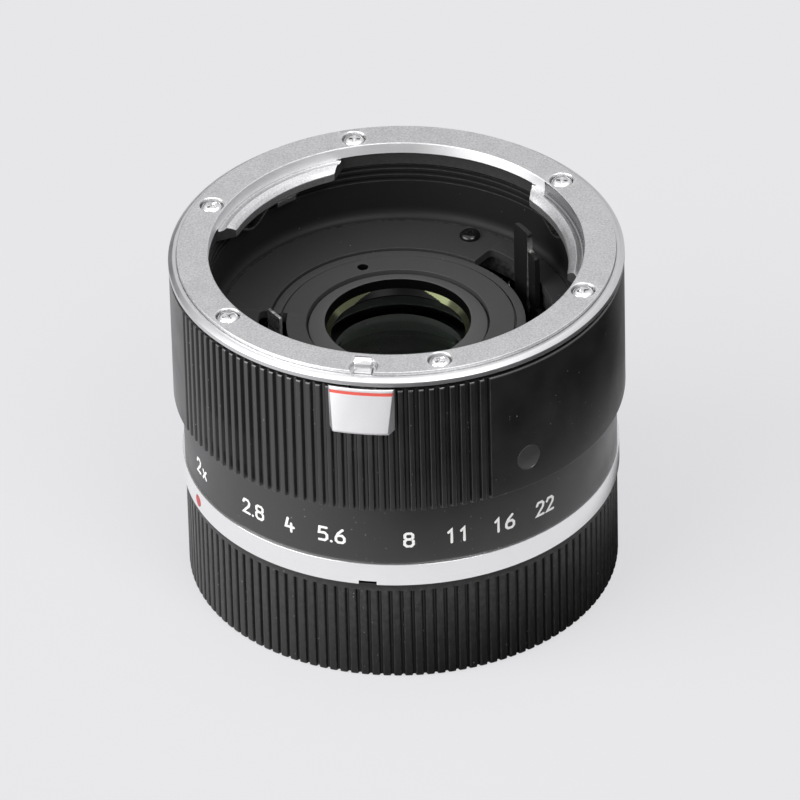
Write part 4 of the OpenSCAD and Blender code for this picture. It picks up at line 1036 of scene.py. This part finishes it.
button = {"back": 32.82, "topR": 33.12, "lowR": 34.6, "low": 44.45, "top": 51.4, "width": 9.5, "taper": 0.1,
          "draft": 0.35, "corner": 0.3, "cornerShares": (0, 0.12, 0.3, 0.6), "edge": 0.35, "lineLow": 50.5,
          "lineHigh": 50.95, "lineDeep": 0.12, "lineProud": 0.01, "neckWidth": 3.6, "neckIn": 31.95,
          "neck": (50.2, 51.65), "neckEdge": 0.1, "shankWidth": 3.7, "shankIn": 30.95, "shank": (46.4, 50.4)}
coil = {"r": 0.6, "wire": 0.15, "turns": 8, "steps": 20, "sides": 8, "low": 36.05, "high": 42.95,
        "pressed": 0.68}


def buttonFront(z):
    b = button
    share = (z - b["low"] - b["edge"]) / (b["top"] - b["low"] - b["edge"])
    return b["lowR"] + (b["topR"] - b["lowR"]) * share


def buttonSweep(name, loop):  # sections side by side, narrower towards the bottom, with rounded side edges
    b, inset = button, button["corner"]
    turned = [1 - k for k in b["cornerShares"]]
    rows = [(-1, t) for t in turned] + [(-1 + 0.2 * i, 0.0) for i in range(1, 10)]
    rows += [(1, t) for t in turned[::-1]]
    sections = []
    for s, t in rows:
        fallen = inset * (1 - math.sqrt(1 - t * t))
        section = []
        for r, z in loop:
            half = b["width"] / 2 - b["taper"] * (b["top"] - z) / (b["top"] - b["low"])
            half -= b["draft"] * max(0.0, r - b["back"])  # the sides lean in towards the front
            x = s * (half - inset + inset * t)
            front = r - fallen if r > b["back"] + 0.05 else r
            section.append((x, -math.sqrt(max(front, b["back"]) ** 2 - x * x), z))
        sections.append(section)
    return sweep(name, sections)


def makeButton():
    b = button
    lineLow, lineHigh = buttonFront(b["lineLow"]), buttonFront(b["lineHigh"])
    wedge = buttonSweep("releaseButton", soften([
        (b["back"], b["low"]), (b["lowR"] - b["edge"], b["low"], 0.12), (b["lowR"], b["low"] + b["edge"], 0.2),
        (lineLow, b["lineLow"], 0.03), (lineLow - b["lineDeep"], b["lineLow"]),
        (lineHigh - b["lineDeep"], b["lineHigh"]), (lineHigh, b["lineHigh"], 0.03), (b["topR"], b["top"], 0.12),
        (b["back"], b["top"])]))
    neck = block("neck", b["neckWidth"], b["back"] + 0.15, b["neckIn"], *b["neck"])
    shank = block("shank", b["shankWidth"], b["back"] + 0.1, b["shankIn"], *b["shank"])
    return unite(wedge, roundEdges(neck, b["neckEdge"]), shank)


def makeLine():
    b = button
    lineLow, lineHigh = buttonFront(b["lineLow"]), buttonFront(b["lineHigh"])
    return buttonSweep("releaseIndexLine", [
        (lineLow - b["lineDeep"], b["lineLow"]), (lineLow + b["lineProud"], b["lineLow"]),
        (lineHigh + b["lineProud"], b["lineHigh"]), (lineHigh - b["lineDeep"], b["lineHigh"])])


def makePin():
    p, half = pin, pin["thick"] / 2
    low, high = p["slide"]
    top = zoneOf("lock_pin")[1] - half
    turns = [math.pi * k / 12 for k in range(13)]
    outline = [(-half, high - 0.2), (half, high - 0.2)]
    outline += [(half * math.cos(t), top + half * math.sin(t)) for t in turns]
    flat = roundEdges(plate("lockPin", outline, -p["width"] / 2, p["width"] / 2), p["edge"], 60)
    turn = Matrix(((0, 0, 1, 0), (1, 0, 0, 0), (0, 1, 0, 0), (0, 0, 0, 1)))  # x and y become y and z
    slide = block("slide", p["slideWidth"], p["r"] + half, p["r"] - half, low, high)
    return unite(place(flat, shift(0, -p["r"], 0) @ turn), roundEdges(slide, p["edge"]))


def makeCoil():
    c = coil
    count = c["turns"] * c["steps"]
    sections = []
    for i in range(count + 1):
        turn = 2 * math.pi * i / c["steps"]
        z = c["low"] + c["wire"] + (c["high"] - c["low"] - 2 * c["wire"]) * i / count
        section = []
        for k in range(c["sides"]):
            t = 2 * math.pi * k / c["sides"]
            r = c["r"] + c["wire"] * math.cos(t)
            section.append((r * math.cos(turn), r * math.sin(turn) - pin["r"], z + c["wire"] * math.sin(t)))
        sections.append(section)
    return sweep("releaseSpring", sections)


releaseSpring = dress(makeCoil(), springSteel, stands=["release_spring"])
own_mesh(releaseSpring)
dress(makeButton(), buttonChrome, "release", ["release_button"])
dress(makeLine(), redEnamel, "release", ["release_index_line"])
dress(makePin(), satinChrome, "release", ["lock_pin"])
print("release made")


# rear bayonet with its red dot, and the ribbed cap

rear = {"bore": 22.8, "noseR": 24.3, "lugLow": 11.0, "lugTop": 12.5, "lugR": 26.7, "lugSpan": 52,
        "lugEdge": 0.15, "spigotR": 24.5, "low": 16.4, "edge": 0.06, "screwR": 28.975, "boreR": 1.75,
        "boreTop": 17.45, "notch": (2.6, 0.65), "pocket": (2.8, 28.9, 31.0, 1.8)}
dot = {"a": -58.8, "z": 18.0, "r": 0.9, "deep": 0.5, "edge": 0.02, "round": 0.1, "proud": 0.05, "gap": 0.03}
cap = {"edge": 0.45, "in": 29.5, "mouth": 27.0, "lipLow": 14.65, "base": 1.6, "ribs": 124, "plainRim": 1.2,
       "lugTurn": 60, "lugR": 24.7, "lugLow": 12.6, "lugSpan": 56}
capGroove = [(0.0, 0.45), (0.12, 0.43), (0.22, 0.3), (0.27, 0.1), (0.32, 0.035), (0.4, 0.006), (0.5, 0.0)]
rearR = zoneOf("rear_bayonet")[2]


def makeRearBayonet():
    e = rear
    low, high, r = zoneOf("rear_bayonet")
    ring = spin("rearBayonet", [
        (e["bore"], low, 0.15), (e["noseR"], low, 0.2), (e["noseR"], e["lugLow"]), (e["spigotR"], e["lugLow"]),
        (e["spigotR"], e["low"]), (r, e["low"], 0.1), (r, high, e["edge"]), (e["bore"], high)])
    half = e["lugSpan"] / 2
    unite(ring, *[roundEdges(arcPlate("lug", a - half, a + half, e["spigotR"] - 0.1, e["lugR"],
                                      e["lugLow"] + 0.001, e["lugTop"]), e["lugEdge"], 60)
                  for a in lug["angles"]])
    width, tall = e["notch"]
    wide, inner, outer, up = e["pocket"]
    cutters = [block("notch", width, r + 1, outer - 0.1, e["low"] - 1, e["low"] + tall),
               block("pocket", wide, outer, inner, e["low"] - 1, e["low"] + up)]
    for a in flange["screwAngles"]:
        cutters.append(place(rod(e["boreR"], e["low"] - 1, e["boreTop"]), shift(*polar(e["screwR"], a))))
    cutters.append(place(rod(dot["r"] + dot["gap"], -dot["deep"], 0.5), facing(dot["a"], r, dot["z"])))
    carve(ring, *cutters)
    for face in ring.data.polygons:  # painted shade: the inside of the lock notch gets the inner black
        x, y, z = face.center / mm
        inside = math.hypot(x, y) < r - 0.1 and abs(x) < wide / 2 + 0.02 and y < 0.1 - inner
        face.material_index = int(inside and 0.01 < z - e["low"] < up + 0.05)
    return ring


def makeCap():
    low, high, r = zoneOf("rear_cap")
    depths = grooveDepths(capGroove, [360 * i / cap["ribs"] for i in range(cap["ribs"])], r)
    ribTop = high - cap["plainRim"]
    loop = [(0, low), (r, low, cap["edge"]), (r, ribTop - 0.001), (r, ribTop), (r, high, 0.1),
            (cap["mouth"], high, 0.1), (cap["mouth"], cap["lipLow"]), (cap["in"], cap["lipLow"]),
            (cap["in"], cap["base"], 0.4), (0, cap["base"])]

    def ribbed(rr, z, a):
        return rr - depths[a] if z < ribTop - 0.0005 and rr > cap["in"] + 0.5 else rr

    shell = spin("rearCap", loop, list(depths), shape=ribbed)
    half, turn = cap["lugSpan"] / 2, cap["lugTurn"]
    return unite(shell, *[arcPlate("lug", a + turn - half, a + turn + half, cap["lugR"], cap["mouth"] + 0.1,
                                   cap["lugLow"], cap["lipLow"] + 0.1) for a in lug["angles"]])


dress(makeRearBayonet(), [satinChrome, innerBlack], stands=["rear_bayonet"])
dress(disc("rearIndexDot", dot, rearR, 48), dotEnamel, stands=["rear_index_dot"])
dress(makeCap(), capPlastic, "cap", ["rear_cap"])
print("rear made")


# rings inside: plain turned pieces that show through the slots and from behind

insideRings = {  # CAD node, inner and outer radius
    "cellLockRing": ("cell_lock_ring", 15.25, 18.6),
    "rearRetainingRing": ("rear_retaining_ring", 9.7, 11.0),
    "ringRetainer": ("ring_retainer", 24.6, 27.775),
}
for name, (node, inner, outer) in insideRings.items():
    low, high, r = zoneOf(node)
    loop = [(inner, low, 0.12), (outer, low, 0.12), (outer, high, 0.08), (inner, high, 0.08)]
    ring = spin(name, loop, steps=180)
    dress(ring, innerBlack, stands=[node])

insideFinish = {"stop_down_ring": glossBlack, "stop_down_rear_lever": leverMetal, "follower_ring": glossBlack,
                "follower_cam": leverMetal, "stop_down_spring": springSteel, "follower_spring": springSteel,
                "sleeve_set_screw": blackScrew}
for name, node in nodes.items():  # what is left of the CAD pieces keeps its shape
    if not node.hide_render:
        node.data.materials.clear()
        node.data.materials.append(insideFinish.get(name, innerBlack))
print("inside made")


# floor, light and camera

stageLook = {"pale": (0.799, 0.791, 0.812, 1), "floor": (0.8, 0.795, 0.81, 1), "size": 4000, "low": -0.05,
             "near": 0.75, "nearR": 0.04, "farR": 0.12, "glossR": (0.034, 0.046), "ambient": 0.2,
             "reflectionShade": (0.01, 0.01, 0.01, 1), "reflectionShadeA": 70, "reflectionShadeSide": (-0.3, 0.6), "reflectionShadeNear": (0.042, 0.05),
             "reflectionShadeFrom": (0.062, 0.07), "reflectionShadeTo": (0.16, 0.26), "skyShadeA": -141, "skyShadeSide": (0.5, 0.85),
             "skyShadeTop": (0.3, 0.6)}


def towards(tree, where, a):  # how far a point or direction lies to one side
    return put(tree, "VectorMath", {0: where, 1: polar(1.0, a)}, operation="DOT_PRODUCT").outputs["Value"]


def makeFloor():
    s, size, low = stageLook, stageLook["size"], stageLook["low"]
    corners = [(-size, -size, low), (size, -size, low), (size, size, low), (-size, size, low)]
    floor = makePiece("studioFloor", corners, [(0, 1, 2, 3)])
    material = bpy.data.materials.new("studioFloor")
    tree = clearTree(material)
    where = put(tree, "NewGeometry").outputs["Position"]
    away = put(tree, "VectorMath", {0: where}, operation="LENGTH").outputs["Value"]
    rays = put(tree, "LightPath").outputs
    # painted shade in reflections: glossy rays see the floor darker in a band around the object at the right
    side = stretch(tree, calc(tree, "DIVIDE", towards(tree, where, s["reflectionShadeA"]), away), *s["reflectionShadeSide"], 0.0, 1.0)
    reflectionShade = plus(tree, stretch(tree, away, *s["reflectionShadeFrom"], 0.0, 1.0),
                stretch(tree, away, *s["reflectionShadeNear"], 1.0, 0.0))
    reflectionShade = times(tree, times(tree, side, reflectionShade), stretch(tree, away, *s["reflectionShadeTo"], 1.0, 0.0))
    reflectionShade = times(tree, reflectionShade, rays["Is Glossy Ray"])
    lit = put(tree, "BsdfDiffuse", {"Color": mixColor(tree, reflectionShade, s["floor"], s["reflectionShade"])})
    glow = put(tree, "Emission", {"Color": mixColor(tree, reflectionShade, s["pale"], s["reflectionShade"])})
    # the camera sees mostly the plain tone, and close to the object more of its shadow
    share = stretch(tree, away, s["nearR"], s["farR"], s["near"], 1.0)
    mirrored = calc(tree, "MAXIMUM", rays["Is Glossy Ray"], rays["Is Transmission Ray"])
    mirrored = times(tree, mirrored, stretch(tree, away, *s["glossR"], 0.0, 1.0))
    pale = calc(tree, "MAXIMUM", times(tree, share, rays["Is Camera Ray"]), mirrored)
    mix = put(tree, "MixShader", {0: pale, 1: lit.outputs[0], 2: glow.outputs[0]})
    put(tree, "OutputMaterial", {"Surface": mix.outputs[0]})
    floor.data.materials.append(material)


def makeWorld():
    s = stageLook
    world = bpy.data.worlds.new("studio")
    scene.world = world
    tree = clearTree(world)
    rays = put(tree, "LightPath").outputs
    seen = calc(tree, "MAXIMUM", rays["Is Camera Ray"], rays["Is Glossy Ray"])
    seen = calc(tree, "MAXIMUM", seen, rays["Is Transmission Ray"])
    where = put(tree, "TexCoord").outputs["Generated"]
    # painted shade in reflections: glossy rays see the sky darker, low behind at the left
    skyShade = stretch(tree, towards(tree, where, s["skyShadeA"]), *s["skyShadeSide"], 0.0, 1.0)
    skyShade = times(tree, skyShade, rays["Is Glossy Ray"])
    high = put(tree, "SeparateXYZ", {0: where}).outputs[2]
    skyShade = times(tree, skyShade, stretch(tree, high, *s["skyShadeTop"], 1.0, 0.0))
    sky = put(tree, "Background", {"Color": mixColor(tree, skyShade, s["pale"], s["reflectionShade"]),
                                   "Strength": stretch(tree, seen, 0.0, 1.0, s["ambient"], 1.0)})
    put(tree, "OutputWorld", {"Surface": sky.outputs[0]})


lamps = {  # place in metres, size and power
    "key": ((-0.95, -0.75, 0.6), (1.4, 1.2), 24.0),
    "top": ((0.05, 0.15, 1.2), (1.8, 1.8), 5.5),
    "front": ((0.5, -0.62, 0.95), (0.5, 0.5), 5.0),
}
lampAim = Vector((0, 0, 0.03))


def makeLamps():
    for name, (spot, size, power) in lamps.items():
        lamp = bpy.data.lights.new(name, "AREA")
        lamp.shape = "RECTANGLE"
        lamp.size, lamp.size_y = size
        lamp.energy = power
        holder = addPiece(name, lamp)
        holder.location = spot
        holder.rotation_euler = (lampAim - Vector(spot)).to_track_quat("-Z", "Y").to_euler()
        holder.visible_camera = False


view = {"azimuth": 9.6, "elevation": 34.939, "distance": 1.5, "height": 0.026629, "roll": -1.466,
        "lens": 466.03, "sensor": 36.0, "clip": (0.05, 50.0)}


def makeCamera():
    a, e, roll = (math.radians(view[k]) for k in ("azimuth", "elevation", "roll"))
    back = Vector((math.cos(e) * math.sin(a), -math.cos(e) * math.cos(a), math.sin(e)))
    right = Vector((math.cos(a), math.sin(a), 0.0))
    up = back.cross(right)
    across = right * math.cos(roll) + up * math.sin(roll)
    above = up * math.cos(roll) - right * math.sin(roll)
    spot = back * view["distance"] + Vector((0, 0, view["height"]))
    data = bpy.data.cameras.new("camera")
    data.sensor_width = view["sensor"]
    data.lens = view["lens"]
    data.clip_start, data.clip_end = view["clip"]
    camera = addPiece("camera", data)
    camera.matrix_world = Matrix.Translation(spot) @ Matrix((across, above, back)).transposed().to_4x4()
    scene.camera = camera


makeFloor()
makeWorld()
makeLamps()
makeCamera()
scene.view_settings.view_transform = "Standard"
print("stage made")
